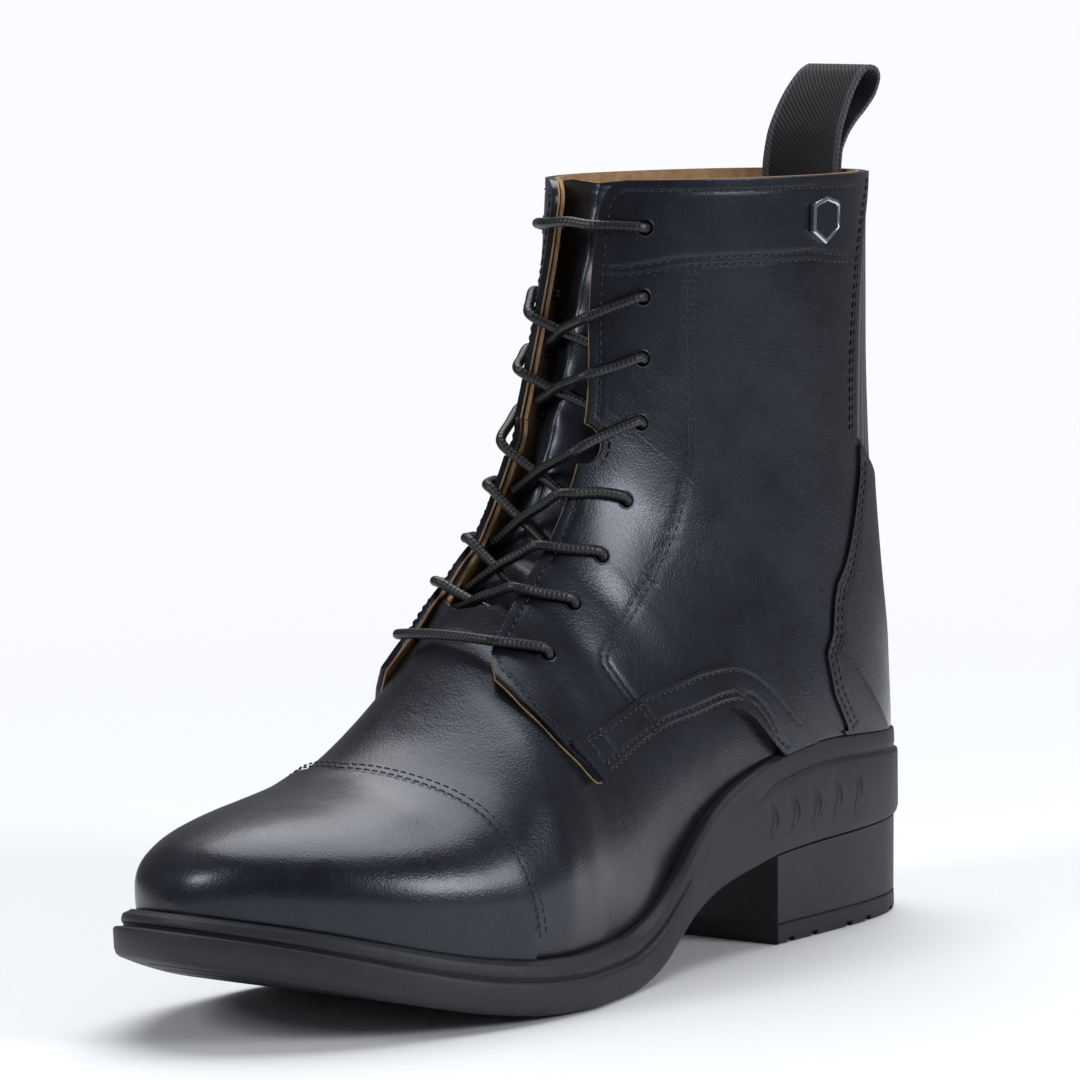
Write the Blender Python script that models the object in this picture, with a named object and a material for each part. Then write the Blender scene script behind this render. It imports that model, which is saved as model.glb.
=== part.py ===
"""Paddock boot for the left foot, standing on its sole.

The toe points to -Y, the wearer's left and outer side is +X, and the origin is
on the ground at the centre of the heel. Distances along the boot are counted
forward from the back of the sole.
"""

import math

import bmesh
import bpy
import numpy as np
from mathutils import Matrix, Vector

MM = 0.001

# Sole
LENGTH = 305 * MM
BALL_WIDTH = 108 * MM
HEEL_HEIGHT = 28 * MM
HEEL_LENGTH = 86 * MM
TOE_SPRING = 24.5 * MM
SOLE_THICKNESS = 10 * MM
CUP_HEIGHT = 31 * MM
SOLE_EDGE_ROUND = 1.6 * MM
GROOVE_DEPTH = 2.0 * MM
LIFT_THICKNESS = 6 * MM
HEEL_INSET = 1.4 * MM
NOTCH_WIDTH = 3 * MM
NOTCH_HEIGHT = 1.6 * MM
NOTCH_PLACES = [0.24, 0.44, 0.57, 0.78, 0.92]
TREAD_PITCH = 13 * MM
TREAD_WIDTH = 3 * MM
TREAD_DEPTH = 1.8 * MM
TREAD_MARGIN = 9 * MM
WAVE_DEPTH = 1.0 * MM
WAVE_WIDTH = 4.4 * MM
INSOLE_THICKNESS = 3 * MM
INSOLE_MARGIN = 4.0 * MM

# Upper
SHAFT_RISE = 185 * MM
WALL = 2.0 * MM
QUARTER_THICKNESS = 1.6 * MM
CAP_THICKNESS = 1.3 * MM
STRAP_THICKNESS = 1.1 * MM
COUNTER_THICKNESS = 2.2 * MM
GORE_THICKNESS = 1.0 * MM
TONGUE_THICKNESS = 2.2 * MM
TONGUE_DROP = 10.4 * MM
STAND_OFF = 2.5 * MM

# Lacing
EYELET_DIAMETER = 4.6 * MM
EYELET_STEPS = [13.5, 20, 18, 18.5, 23.5, 19.5, 19, 20.5]
NOTCH_DIAMETER = 12 * MM
LACE_DIAMETER = 3.0 * MM
LACE_FALL = [0.92, 0.90, 0.88, 0.60, 0.60, 0.60]

# Pull loop and badge
LOOP_WIDTH = 28 * MM
LOOP_THICKNESS = 1.3 * MM
LOOP_RISE = 30.5 * MM
LOOP_LEAN = 12.7 * MM
LOOP_TWIST = 11.5
BADGE_WIDTH = 15 * MM
BADGE_HEIGHT = 14 * MM
BADGE_THICKNESS = 1.8 * MM

# Clearance between pieces that touch
GAP = 0.3 * MM


def table(columns, *rows):
    """Rows of numbers as one array for each named column."""
    names = columns.split()
    return {name: np.array([row[i] for row in rows], float) for i, name in enumerate(names)}


def smooth(xs, ys, at):
    """Cubic curve through the points (xs, ys) that makes no false bumps."""
    width = np.diff(xs)
    rise = np.diff(ys) / width
    slope = np.zeros(len(xs))
    for i in range(1, len(xs) - 1):
        if rise[i - 1] * rise[i] > 0:
            near = 2 * width[i] + width[i - 1]
            far = width[i] + 2 * width[i - 1]
            slope[i] = (near + far) / (near / rise[i - 1] + far / rise[i])
    slope[0] = rise[0]
    slope[-1] = rise[-1]
    i = np.clip(np.searchsorted(xs, at) - 1, 0, len(xs) - 2)
    u = np.clip((at - xs[i]) / width[i], 0, 1)
    return (
        (2 * u**3 - 3 * u**2 + 1) * ys[i]
        + (u**3 - 2 * u**2 + u) * width[i] * slope[i]
        + (3 * u**2 - 2 * u**3) * ys[i + 1]
        + (u**3 - u**2) * width[i] * slope[i + 1]
    )


def read(rows, name, at):
    """A table's column at a place between its rows."""
    return smooth(rows["at"], rows[name], at)


def y_of(along):
    """World Y of a distance forward from the back of the sole."""
    return HEEL_LENGTH / 2 + HEEL_INSET - along


# The sole's outline: share of LENGTH, then half widths as shares of BALL_WIDTH.
# Negative lateral values near the toe put its tip on the inner side.
OUTLINE = table(
    "at lateral medial",
    (0.000, 0.000, 0.000),
    (0.012, 0.150, 0.146),
    (0.040, 0.246, 0.240),
    (0.090, 0.310, 0.307),
    (0.160, 0.338, 0.336),
    (0.240, 0.346, 0.336),
    (0.330, 0.357, 0.310),
    (0.420, 0.380, 0.280),
    (0.510, 0.430, 0.305),
    (0.600, 0.494, 0.380),
    (0.650, 0.518, 0.425),
    (0.700, 0.514, 0.460),
    (0.760, 0.486, 0.482),
    (0.830, 0.426, 0.478),
    (0.890, 0.343, 0.435),
    (0.940, 0.231, 0.372),
    (0.975, 0.102, 0.300),
    (1.000, -0.098, 0.098),
)

# The sole from the side: share of LENGTH, the underside's height as a share of HEEL_HEIGHT and of
# TOE_SPRING, the rim's height as a share of CUP_HEIGHT, the rim's width in mm,
# the side groove's height below the rim in mm and its share of GROOVE_DEPTH.
SIDE = table(
    "at arch spring rim width groove cut",
    (0.000, 1.050, 0.000, 0.850, 6.0, 7.0, 0.60),
    (0.100, 1.025, 0.000, 0.940, 6.0, 7.2, 0.60),
    (0.200, 1.000, 0.000, 1.000, 6.0, 7.6, 0.60),
    (0.275, 0.955, 0.000, 0.960, 6.0, 8.0, 0.60),
    (0.328, 0.864, 0.000, 0.910, 6.0, 9.0, 0.00),
    (0.361, 0.800, 0.000, 0.855, 6.2, 8.0, 0.00),
    (0.393, 0.707, 0.000, 0.775, 6.5, 7.0, 0.00),
    (0.426, 0.564, 0.000, 0.655, 7.0, 6.3, 0.15),
    (0.459, 0.357, 0.000, 0.560, 7.5, 6.0, 0.60),
    (0.492, 0.157, 0.000, 0.530, 8.0, 5.8, 0.90),
    (0.525, 0.045, 0.000, 0.515, 8.5, 5.7, 1.00),
    (0.557, 0.000, 0.000, 0.505, 9.0, 5.7, 1.00),
    (0.640, 0.000, 0.000, 0.500, 9.0, 5.7, 1.00),
    (0.689, 0.000, 0.030, 0.500, 9.0, 5.7, 1.00),
    (0.754, 0.000, 0.140, 0.500, 9.0, 5.7, 1.00),
    (0.803, 0.000, 0.270, 0.500, 9.0, 5.7, 1.00),
    (0.852, 0.000, 0.435, 0.500, 9.0, 5.7, 1.00),
    (0.902, 0.000, 0.630, 0.490, 9.0, 5.5, 1.10),
    (0.951, 0.000, 0.825, 0.465, 9.0, 5.1, 1.35),
    (1.000, 0.000, 1.000, 0.440, 9.0, 4.6, 1.60),
)

# The last. Each row is a flat cut through the foot and shaft, from a low point to a high one:
# low: its low point along LENGTH, rise: that point's height over the footbed, as a share of SHAFT_RISE,
# high and lift: the same for its high point, swell: how far it bulges past the
# feather edge, lateral and medial: its own half widths, free: how much it follows those,
# ridge: how far its crest lies to the outer side, all as shares of BALL_WIDTH,
# belly: where it is widest, outer and inner: how square its shoulders are on each side.
LAST = table(
    "low rise high lift swell lateral medial free ridge belly outer inner",
    (0.972, 0.000, 0.972, 0.020, 0.002, 0.100, 0.100, 0.0, -0.097, 0.50, 2.50, 2.50),
    (0.965, 0.000, 0.965, 0.070, 0.010, 0.150, 0.150, 0.0, -0.094, 0.50, 2.45, 2.45),
    (0.948, 0.000, 0.948, 0.112, 0.018, 0.200, 0.200, 0.0, -0.090, 0.48, 2.35, 2.35),
    (0.918, 0.000, 0.918, 0.151, 0.024, 0.250, 0.250, 0.0, -0.086, 0.45, 2.25, 2.25),
    (0.875, 0.000, 0.875, 0.192, 0.028, 0.300, 0.300, 0.0, -0.083, 0.42, 2.16, 2.16),
    (0.820, 0.000, 0.820, 0.233, 0.032, 0.350, 0.350, 0.0, -0.081, 0.40, 2.10, 2.10),
    (0.760, 0.000, 0.760, 0.277, 0.036, 0.400, 0.400, 0.0, -0.080, 0.38, 2.04, 2.04),
    (0.705, 0.000, 0.708, 0.333, 0.040, 0.440, 0.400, 0.0, -0.079, 0.35, 2.00, 2.00),
    (0.655, 0.000, 0.667, 0.390, 0.040, 0.460, 0.400, 0.2, -0.078, 0.33, 2.00, 2.00),
    (0.605, 0.000, 0.630, 0.445, 0.036, 0.447, 0.375, 0.6, -0.076, 0.30, 1.95, 2.00),
    (0.550, 0.000, 0.598, 0.495, 0.032, 0.403, 0.350, 0.9, -0.072, 0.28, 1.90, 2.05),
    (0.490, 0.000, 0.571, 0.520, 0.028, 0.375, 0.338, 1.0, -0.067, 0.26, 1.85, 2.10),
    (0.425, 0.000, 0.545, 0.500, 0.026, 0.343, 0.334, 1.0, -0.062, 0.25, 1.80, 2.14),
    (0.355, 0.000, 0.523, 0.503, 0.024, 0.330, 0.332, 1.0, -0.057, 0.24, 1.80, 2.15),
    (0.275, 0.000, 0.504, 0.530, 0.024, 0.322, 0.330, 1.0, -0.052, 0.24, 1.80, 2.15),
    (0.180, 0.000, 0.490, 0.576, 0.024, 0.315, 0.326, 1.0, -0.047, 0.25, 1.80, 2.15),
    (0.100, 0.000, 0.479, 0.621, 0.024, 0.312, 0.320, 1.0, -0.042, 0.27, 1.80, 2.15),
    (0.048, 0.000, 0.470, 0.664, 0.024, 0.310, 0.316, 1.0, -0.036, 0.30, 1.80, 2.15),
    (0.0215, 0.000, 0.462, 0.707, 0.024, 0.308, 0.312, 1.0, -0.031, 0.33, 1.80, 2.14),
    (0.015, 0.070, 0.455, 0.750, 0.024, 0.306, 0.308, 1.0, -0.026, 0.36, 1.80, 2.10),
    (0.0145, 0.170, 0.448, 0.799, 0.024, 0.305, 0.306, 1.0, -0.020, 0.39, 1.80, 2.02),
    (0.024, 0.320, 0.4405, 0.857, 0.024, 0.308, 0.306, 1.0, -0.014, 0.42, 1.80, 1.92),
    (0.036, 0.500, 0.433, 0.914, 0.024, 0.320, 0.314, 1.0, -0.008, 0.45, 1.79, 1.82),
    (0.0425, 0.720, 0.427, 0.965, 0.024, 0.338, 0.328, 1.0, -0.003, 0.48, 1.77, 1.74),
    (0.0425, 0.900, 0.423, 0.996, 0.024, 0.350, 0.338, 1.0, 0.000, 0.50, 1.75, 1.69),
    (0.041, 1.000, 0.4215, 1.014, 0.024, 0.357, 0.343, 1.0, 0.000, 0.50, 1.74, 1.67),
)
LAST["at"] = np.arange(len(LAST["low"]), dtype=float)
COLLAR = float(len(LAST["low"]) - 1)
TAIL = 18.0
SHOULDER = 0.62
BACK_SQUARE = 0.2

# Edges of the pieces on the upper, by cut number: the share of the way round from the crest.
FACING = table(
    "at edge",
    (9.2, 0.185),
    (9.7, 0.153),
    (10.5, 0.147),
    (13.0, 0.145),
    (15.0, 0.149),
    (17.5, 0.141),
    (19.0, 0.131),
    (20.5, 0.114),
    (22.2, 0.105),
    (24.0, 0.105),
    (25.0, 0.113),
)
QUARTER_EDGE = table(
    "at edge",
    (9.20, 0.250),
    (9.43, 0.357),
    (9.83, 0.423),
    (10.26, 0.473),
    (11.35, 0.490),
    (12.20, 0.507),
    (13.05, 0.523),
    (14.15, 0.546),
    (14.40, 0.580),
    (14.50, 0.650),
    (14.65, 0.760),
)
STRAP_EDGE = table(
    "at edge",
    (9.98, 0.385),
    (11.14, 0.412),
    (12.26, 0.437),
    (13.55, 0.464),
    (14.26, 0.481),
    (14.74, 0.500),
    (15.02, 0.530),
    (15.17, 0.580),
    (15.30, 0.700),
)
COUNTER_EDGE = table(
    "at edge",
    (15.95, 0.760),
    (16.13, 0.695),
    (16.43, 0.622),
    (17.27, 0.582),
    (18.70, 0.599),
    (20.03, 0.656),
    (21.09, 0.711),
    (21.54, 0.733),
    (22.68, 0.755),
    (23.60, 0.780),
    (24.30, 0.812),
    (25.00, 0.845),
)
EYELET_LINE = table(
    "at edge",
    (9.0, 0.256),
    (12.0, 0.252),
    (15.0, 0.245),
    (20.0, 0.236),
    (22.8, 0.223),
    (25.0, 0.215),
)
CAP_SEAM = table(
    "at cut",
    (0.00, 6.10),
    (0.15, 6.24),
    (0.35, 6.52),
    (0.55, 6.70),
    (0.68, 6.89),
    (1.00, 7.10),
)
THROAT = 10.6
COUNTER_TOP = 21.8

# The grid that every sheet on the last shares, so that their facets lie parallel:
# cut numbers from the toe to the collar, and shares of the way round from the crest.
ROWS = [0, 0.5, 1.1, 2, 3, 4, 5, 5.6, 6.1, 6.6, 7.1, 8, 9, 9.8, 10.6, 10.8, 11.2, 11.8, 12.6, 13.5]
ROWS += [14.5, 15.2, 15.95, 16.43, 17.3, 17.65, 17.85, 18, 18.6, 19.3, 20.2, 21.1, 21.92, 22.8, 23.6, 24.3, 25]
COLUMNS = [0, 0.09, 0.17, 0.25, 0.33, 0.42, 0.50, 0.56, 0.62, 0.71, 0.81, 0.89, 0.95, 1.0]


def ground(along):
    """Height of the sole's underside."""
    share = along / LENGTH
    return HEEL_HEIGHT * read(SIDE, "arch", share) + TOE_SPRING * read(SIDE, "spring", share)


def footbed(along):
    """Height of the seat inside the sole."""
    return ground(along) + SOLE_THICKNESS


def rim(along):
    """Height of the sole's top edge."""
    return ground(along) + CUP_HEIGHT * read(SIDE, "rim", along / LENGTH)


def outline(count):
    """The sole's edge as (x, along) points, out along the outer side and back along the inner one."""
    turn = np.linspace(0, 1, count)
    share = (1 - np.cos(np.pi * turn)) / 2
    rows = {name: OUTLINE[name] for name in ("lateral", "medial")}
    rows["at"] = np.arccos(1 - 2 * OUTLINE["at"]) / np.pi
    outer = np.stack([read(rows, "lateral", turn) * BALL_WIDTH, share * LENGTH], 1)
    inner = np.stack([-read(rows, "medial", turn) * BALL_WIDTH, share * LENGTH], 1)
    return np.concatenate([outer, inner[-2:0:-1]])


def inward(points):
    """Unit directions from a closed outline to its inside."""
    tangent = np.roll(points, -1, 0) - np.roll(points, 1, 0)
    tangent /= np.linalg.norm(tangent, axis=1)[:, None]
    return np.stack([-tangent[:, 1], tangent[:, 0]], 1)


FINE = outline(240)
FINE_SHARE = np.clip(FINE[:, 1] / LENGTH, 0, 1)
FEATHER = FINE + inward(FINE) * (read(SIDE, "width", FINE_SHARE)[:, None] * MM + GAP)
TOE_TIP = FEATHER[:, 1].max()
HEEL_TIP = FEATHER[:, 1].min()


def feather(along, side):
    """Half width of the upper's lower edge."""
    half = FEATHER[:240] if side > 0 else FEATHER[240:][::-1]
    return float(np.interp(along, half[:, 1], half[:, 0]))


def cut_at(cut):
    """Sizes of one flat cut through the last."""
    row = {name: read(LAST, name, cut) for name in LAST if name != "at"}
    low = min(row["low"] * LENGTH, TOE_TIP)
    high = min(row["high"] * LENGTH, TOE_TIP)
    if cut >= TAIL:
        low += HEEL_TIP - LAST["low"][int(TAIL)] * LENGTH
    base = footbed(low) + GAP
    row["low"] = np.array([y_of(low), base + row["rise"] * SHAFT_RISE])
    row["high"] = np.array([y_of(high), base + row["lift"] * SHAFT_RISE])
    for name, side in (("lateral", 1), ("medial", -1)):
        edge = feather(low, side) if cut < TAIL else 0.0
        own = side * row[name] * BALL_WIDTH
        follow = edge + side * row["swell"] * BALL_WIDTH
        row[name] = follow + (own - follow) * row["free"]
        row[name + "_edge"] = edge
    return row


CUTS = {}


def surface(cut, around):
    """Point on the upper: around runs from -1 on the inner side over the crest, 0, to 1 on the outer side."""
    cut = float(np.clip(cut, 0, COLLAR))
    key = round(cut, 5)
    if key not in CUTS:
        CUTS[key] = cut_at(cut)
    row = CUTS[key]
    name = "lateral" if around >= 0 else "medial"
    share = min(abs(around), 1.0)
    crest = row["ridge"] * BALL_WIDTH
    power = 2 / row["outer" if around >= 0 else "inner"]
    if share <= SHOULDER:
        turn = share / SHOULDER * math.pi / 2
        x = crest + (row[name] - crest) * math.sin(turn) ** power
        height = row["belly"] + (1 - row["belly"]) * max(math.cos(turn), 0.0) ** power
    else:
        turn = (share - SHOULDER) / (1 - SHOULDER) * math.pi / 2
        square = 1 - BACK_SQUARE * row["free"]
        x = row[name + "_edge"] + (row[name] - row[name + "_edge"]) * max(math.cos(turn), 0.0) ** square
        height = row["belly"] * (1 - math.sin(turn))
    y, z = row["low"] + (row["high"] - row["low"]) * height
    return np.array([x, y, z])


def skin(cut, around, raised=0.0):
    """Point on the upper, raised above its surface."""
    point = surface(cut, around)
    if raised == 0.0:
        return point
    step = 0.02
    seam = cut >= TAIL and abs(around) == 1
    if seam:
        around = 1.0
    side = math.copysign(1, around)
    reach = step * 4
    forth = surface(cut + reach, around) - surface(cut - reach, around)
    while np.linalg.norm(forth) < 1e-6 and reach < COLLAR:
        reach *= 2
        forth = surface(cut + reach, around) - surface(cut - reach, around)
    near = max(min(abs(around), 1 - step), 0.0)
    across = surface(cut, side * near + step) - surface(cut, side * near - step)
    normal = np.cross(across, forth)
    if seam:
        normal[0] = 0
    size = np.linalg.norm(normal)
    return point + normal / size * raised


def rim_share(cut, side, raised):
    """How far round a cut the skin, raised so far, meets the sole's rim."""
    low, high = 0.0, 1.0
    for _ in range(20):
        middle = (low + high) / 2
        x, y, z = skin(cut, side * middle, raised)
        if z > rim(y_of(y)) + 2.5 * GAP:
            low = middle
        else:
            high = middle
    return low


def material(name, red, green, blue, roughness, metallic=0.0):
    """Plain material in linear colour."""
    item = bpy.data.materials.new(name)
    item.use_nodes = True
    shader = item.node_tree.nodes["Principled BSDF"]
    shader.inputs["Base Color"].default_value = (red, green, blue, 1)
    shader.inputs["Roughness"].default_value = roughness
    shader.inputs["Metallic"].default_value = metallic
    item.diffuse_color = (red, green, blue, 1)
    return item


def weld(points, faces):
    """Points and faces with equal points made one."""
    index = {}
    kept = []
    where = []
    for point in points:
        key = tuple(int(round(c * 1e7)) for c in point)
        if key not in index:
            index[key] = len(kept)
            kept.append(tuple(point))
        where.append(index[key])
    out = []
    for face in faces:
        ring = []
        for i in face:
            if where[i] not in ring:
                ring.append(where[i])
        if len(ring) > 2:
            out.append(ring)
    return kept, out, where


def solid(name, points, faces, look, angle=35):
    """One closed object from points and faces."""
    points, faces, _ = weld(points, faces)
    mesh = bpy.data.meshes.new(name)
    mesh.from_pydata(points, [], faces)
    shape = bmesh.new()
    shape.from_mesh(mesh)
    bmesh.ops.recalc_face_normals(shape, faces=shape.faces)
    if shape.calc_volume(signed=True) < 0:
        bmesh.ops.reverse_faces(shape, faces=shape.faces)
    shape.to_mesh(mesh)
    shape.free()
    mesh.shade_smooth()
    mesh.set_sharp_from_angle(angle=math.radians(angle))
    piece = bpy.data.objects.new(name, mesh)
    bpy.context.scene.collection.objects.link(piece)
    if look:
        mesh.materials.append(look)
    return piece


def shell(name, outer, inner, faces, look):
    """Closed wall between two sheets that share their faces."""
    outer, outer_faces, where = weld(outer, faces)
    kept = {}
    for i, j in enumerate(where):
        kept.setdefault(j, inner[i])
    inner = [kept[j] for j in range(len(outer))]
    count = len(outer)
    edges = {}
    for face in outer_faces:
        for a, b in zip(face, face[1:] + face[:1]):
            edges[(a, b)] = edges.get((a, b), 0) + 1
    walls = [(b, a, a + count, b + count) for a, b in edges if (b, a) not in edges]
    under = [[i + count for i in reversed(face)] for face in outer_faces]
    return solid(name, list(outer) + list(inner), outer_faces + under + walls, look)


def sheet(rows, columns):
    """Triangles of a grid of points with so many rows and columns."""
    faces = []
    for i in range(rows - 1):
        for j in range(columns - 1):
            near = i * columns + j
            far = near + columns
            faces += [(near, near + 1, far + 1), (near, far + 1, far)]
    return faces


def rows_between(low, high, *more):
    """The grid's rows from one cut to another, with those two and any more."""
    inside = [row for row in ROWS if low < row < high]
    return sorted({float(row) for row in (*inside, low, high, *more)})


def patch(name, rows, sides, span, low, high, look, trim=None):
    """Sheet on the upper: span gives its two edges at a cut, low and high give its faces' heights."""
    outer = []
    inner = []
    faces = []
    for side in sides:
        base = len(outer)
        for row in rows:
            start, end = span(row, side)
            for column in COLUMNS:
                share = max(start, min(column, end))
                around = side * share if share else 0.0
                cut = min(row, trim(share)) if trim else row
                outer.append(skin(cut, around, high(cut, around)))
                inner.append(skin(cut, around, low(cut, around)))
        faces += [[base + i for i in face[::side]] for face in sheet(len(rows), len(COLUMNS))]
    return shell(name, outer, inner, faces, look)


def level(height):
    """The same height all over a sheet."""
    return lambda cut, around: height


def boolean(piece, tool, how):
    """Cuts the tool from the piece, or joins it on, and hides the tool."""
    step = piece.modifiers.new(tool.name, "BOOLEAN")
    step.operation = how
    step.solver = "EXACT"
    step.object = tool
    tool.hide_render = True
    tool.hide_set(True)
    tool.display_type = "WIRE"


def last_body(name, raised):
    """The last as one closed body, raised all round."""
    points = []
    faces = []
    width = len(COLUMNS)
    size = len(ROWS) * width
    for side in (1, -1):
        base = len(points)
        for cut in ROWS:
            for share in COLUMNS:
                around = side * share if share else 0.0
                point = skin(cut, around, raised) if cut > 0 else surface(0, 0) - (0, raised, 0)
                if share == 1:
                    flat = surface(cut, around)
                    out = (point - flat) * (1, 1, 0)
                    point = flat + out / np.linalg.norm(out) * raised - (0, 0, raised)
                points.append(point)
        faces += [[base + i for i in face[::side]] for face in sheet(len(ROWS), width)]
    for edge in range(width - 1, size - width, width):
        faces.append((edge, size + edge, size + edge + width, edge + width))
    for first in (0, size - width):
        ring = [first + j for j in range(width)]
        faces.append(ring + [size + i for i in ring[:0:-1]])
    return solid(name, points, faces, None)


def make_outsole(look):
    """The moulded sole: tread slab, waist and the cup that holds the heel."""
    count = 36
    edge = outline(count)
    into = inward(edge)
    share = np.clip(edge[:, 1] / LENGTH, 0, 1)
    cut = read(SIDE, "cut", share) * GROOVE_DEPTH
    tall = np.clip(read(SIDE, "rim", share) - 0.5, 0, 1)
    bead = 1.3 * cut + 0.8 * MM - 0.3 * MM * tall
    # each ring: its inset, which line its height is counted from, and how far above that
    rings = [
        (2.0 * SOLE_EDGE_ROUND + 0 * cut, "ground", 0),
        (0.4 * SOLE_EDGE_ROUND + 0 * cut, "ground", 0.6 * SOLE_EDGE_ROUND),
        (0.1 * SOLE_EDGE_ROUND + 0 * cut, "ground", 1.6 * SOLE_EDGE_ROUND),
        (0 * cut, "groove", -1.6 * MM),
        (0.3 * cut, "groove", -0.5 * MM),
        (cut, "groove", -0.1 * MM),
        (cut, "groove", 0.5 * MM),
        (0.9 * cut, "groove", 1.4 * MM),
        (cut, "rim", -2.0 * MM),
        (bead, "rim", -0.6 * MM),
        (bead + 1.4 * MM, "rim", 0),
    ]
    points = []
    for inset, line, above in rings:
        ring = edge + into * inset[:, None]
        for x, along in ring:
            along_share = min(max(along / LENGTH, 0), 1)
            height = ground(along) if line == "ground" else rim(along)
            if line == "groove":
                height -= read(SIDE, "groove", along_share) * MM
            points.append((x, y_of(along), height + above))
    size = len(edge)
    faces = []
    for k in range(len(rings) - 1):
        for i in range(size):
            j = (i + 1) % size
            faces.append((k * size + i, k * size + j, (k + 1) * size + j, (k + 1) * size + i))
    for base in (0, (len(rings) - 1) * size):
        for i in range(count - 1):
            far = (size - i) % size
            farther = size - i - 1
            faces.append((base + i, base + i + 1, base + farther, base + far))
    sole = solid("outsole", points, faces, look)
    boolean(sole, wave_cutter(), "DIFFERENCE")
    boolean(sole, tread_cutter(), "DIFFERENCE")
    boolean(sole, last_body("last_cutter", GAP), "DIFFERENCE")
    return sole


def bars(name, boxes):
    """Separate straight bars, each from its lowest corner to its highest, as one cutter."""
    points = []
    faces = []
    for low, high in boxes:
        base = len(points)
        points += [
            (x, y, z) for z in (low[2], high[2]) for x, y in
            ((low[0], low[1]), (high[0], low[1]), (high[0], high[1]), (low[0], high[1]))
        ]
        ring = [(0, 3, 2, 1), (4, 5, 6, 7), (0, 1, 5, 4), (1, 2, 6, 5), (2, 3, 7, 6), (3, 0, 4, 7)]
        faces += [[base + i for i in face] for face in ring]
    return solid(name, points, faces, None)


def half_width(along, side):
    """Half width of the sole's outline."""
    return float(read(OUTLINE, "lateral" if side > 0 else "medial", along / LENGTH)) * BALL_WIDTH


def tread_cutter():
    """Grooves across the forefoot's underside, short of its edges."""
    boxes = []
    along = 0.46 * LENGTH
    while along < 0.93 * LENGTH:
        inner = TREAD_MARGIN - half_width(along, -1)
        outer = half_width(along, 1) - TREAD_MARGIN
        low = (inner, y_of(along) - TREAD_WIDTH / 2, ground(along) - TREAD_DEPTH)
        high = (outer, y_of(along) + TREAD_WIDTH / 2, ground(along) + TREAD_DEPTH)
        boxes.append((low, high))
        along += TREAD_PITCH
    return bars("tread_cutter", boxes)


def wave_cutter():
    """The curved flutes pressed into both sides of the cup."""
    points = []
    faces = []
    spots = 9
    around = 6
    for side in (1, -1):
        for i in range(5):
            centre = (0.29 - 0.036 * i) * LENGTH
            height = 1.36 * HEEL_HEIGHT + 0.9 * MM * i
            base = len(points)
            for k in range(spots):
                reach = 2 * k / (spots - 1) - 1
                along = centre + 5 * MM * reach * reach
                sunk = WAVE_DEPTH * (1 - 1.3 * reach * reach)
                middle = half_width(along, side) + WAVE_WIDTH / 2 - sunk
                for j in range(around):
                    turn = math.tau * (j + 0.5) / around
                    out = WAVE_WIDTH / 2 * math.cos(turn)
                    wide = WAVE_WIDTH / 2 * math.sin(turn)
                    points.append((side * (middle + out), y_of(along - wide), height + 6.5 * MM * reach))
            for k in range(spots - 1):
                for j in range(around):
                    a = base + k * around + j
                    b = base + k * around + (j + 1) % around
                    faces.append((a, b, b + around, a + around))
            faces.append([base + j for j in reversed(range(around))])
            faces.append([base + (spots - 1) * around + j for j in range(around)])
    return solid("wave_cutter", points, faces, None)


def heel_ring(inset):
    """The heel's outline from above, straight across at its front."""
    edge = outline(60)
    points = edge + inward(edge) * inset
    outer = [p for p in points[:60] if p[1] < HEEL_LENGTH]
    inner = [p for p in points[60:][::-1] if p[1] < HEEL_LENGTH]
    outer = outer[::3] + [np.array([np.interp(HEEL_LENGTH, points[:60, 1], points[:60, 0]), HEEL_LENGTH])]
    back = points[60:][::-1]
    inner = inner[2::3] + [np.array([np.interp(HEEL_LENGTH, back[:, 1], back[:, 0]), HEEL_LENGTH])]
    return outer + inner[::-1]


def prism(name, levels, look):
    """Solid with flat ends, from rings of points at their heights."""
    size = len(levels[0])
    points = [p for ring in levels for p in ring]
    faces = [
        (k * size + i, k * size + (i + 1) % size, (k + 1) * size + (i + 1) % size, (k + 1) * size + i)
        for k in range(len(levels) - 1)
        for i in range(size)
    ]
    faces.append(list(reversed(range(size))))
    faces.append([(len(levels) - 1) * size + i for i in range(size)])
    return solid(name, points, faces, look)


def make_heel(block_look, lift_look):
    """The stacked heel: a block under the cup, and the lift that meets the ground."""
    wide = heel_ring(HEEL_INSET)
    narrow = heel_ring(HEEL_INSET + 0.6 * MM)
    worn = heel_ring(HEEL_INSET + 1.2 * MM)
    block = prism(
        "heel_block",
        [
            [(x, y_of(a), LIFT_THICKNESS + GAP) for x, a in narrow],
            [(x, y_of(a), ground(a) - GAP) for x, a in wide],
        ],
        block_look,
    )
    lift = prism(
        "heel_lift",
        [
            [(x, y_of(a), 0) for x, a in worn],
            [(x, y_of(a), 0.8 * MM) for x, a in narrow],
            [(x, y_of(a), LIFT_THICKNESS) for x, a in narrow],
        ],
        lift_look,
    )
    boxes = []
    for share in NOTCH_PLACES:
        middle = y_of(share * HEEL_LENGTH)
        low = (-BALL_WIDTH / 2, middle - NOTCH_WIDTH / 2, -NOTCH_HEIGHT)
        high = (BALL_WIDTH / 2, middle + NOTCH_WIDTH / 2, NOTCH_HEIGHT)
        boxes.append((low, high))
    boolean(lift, bars("notch_cutter", boxes), "DIFFERENCE")


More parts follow.
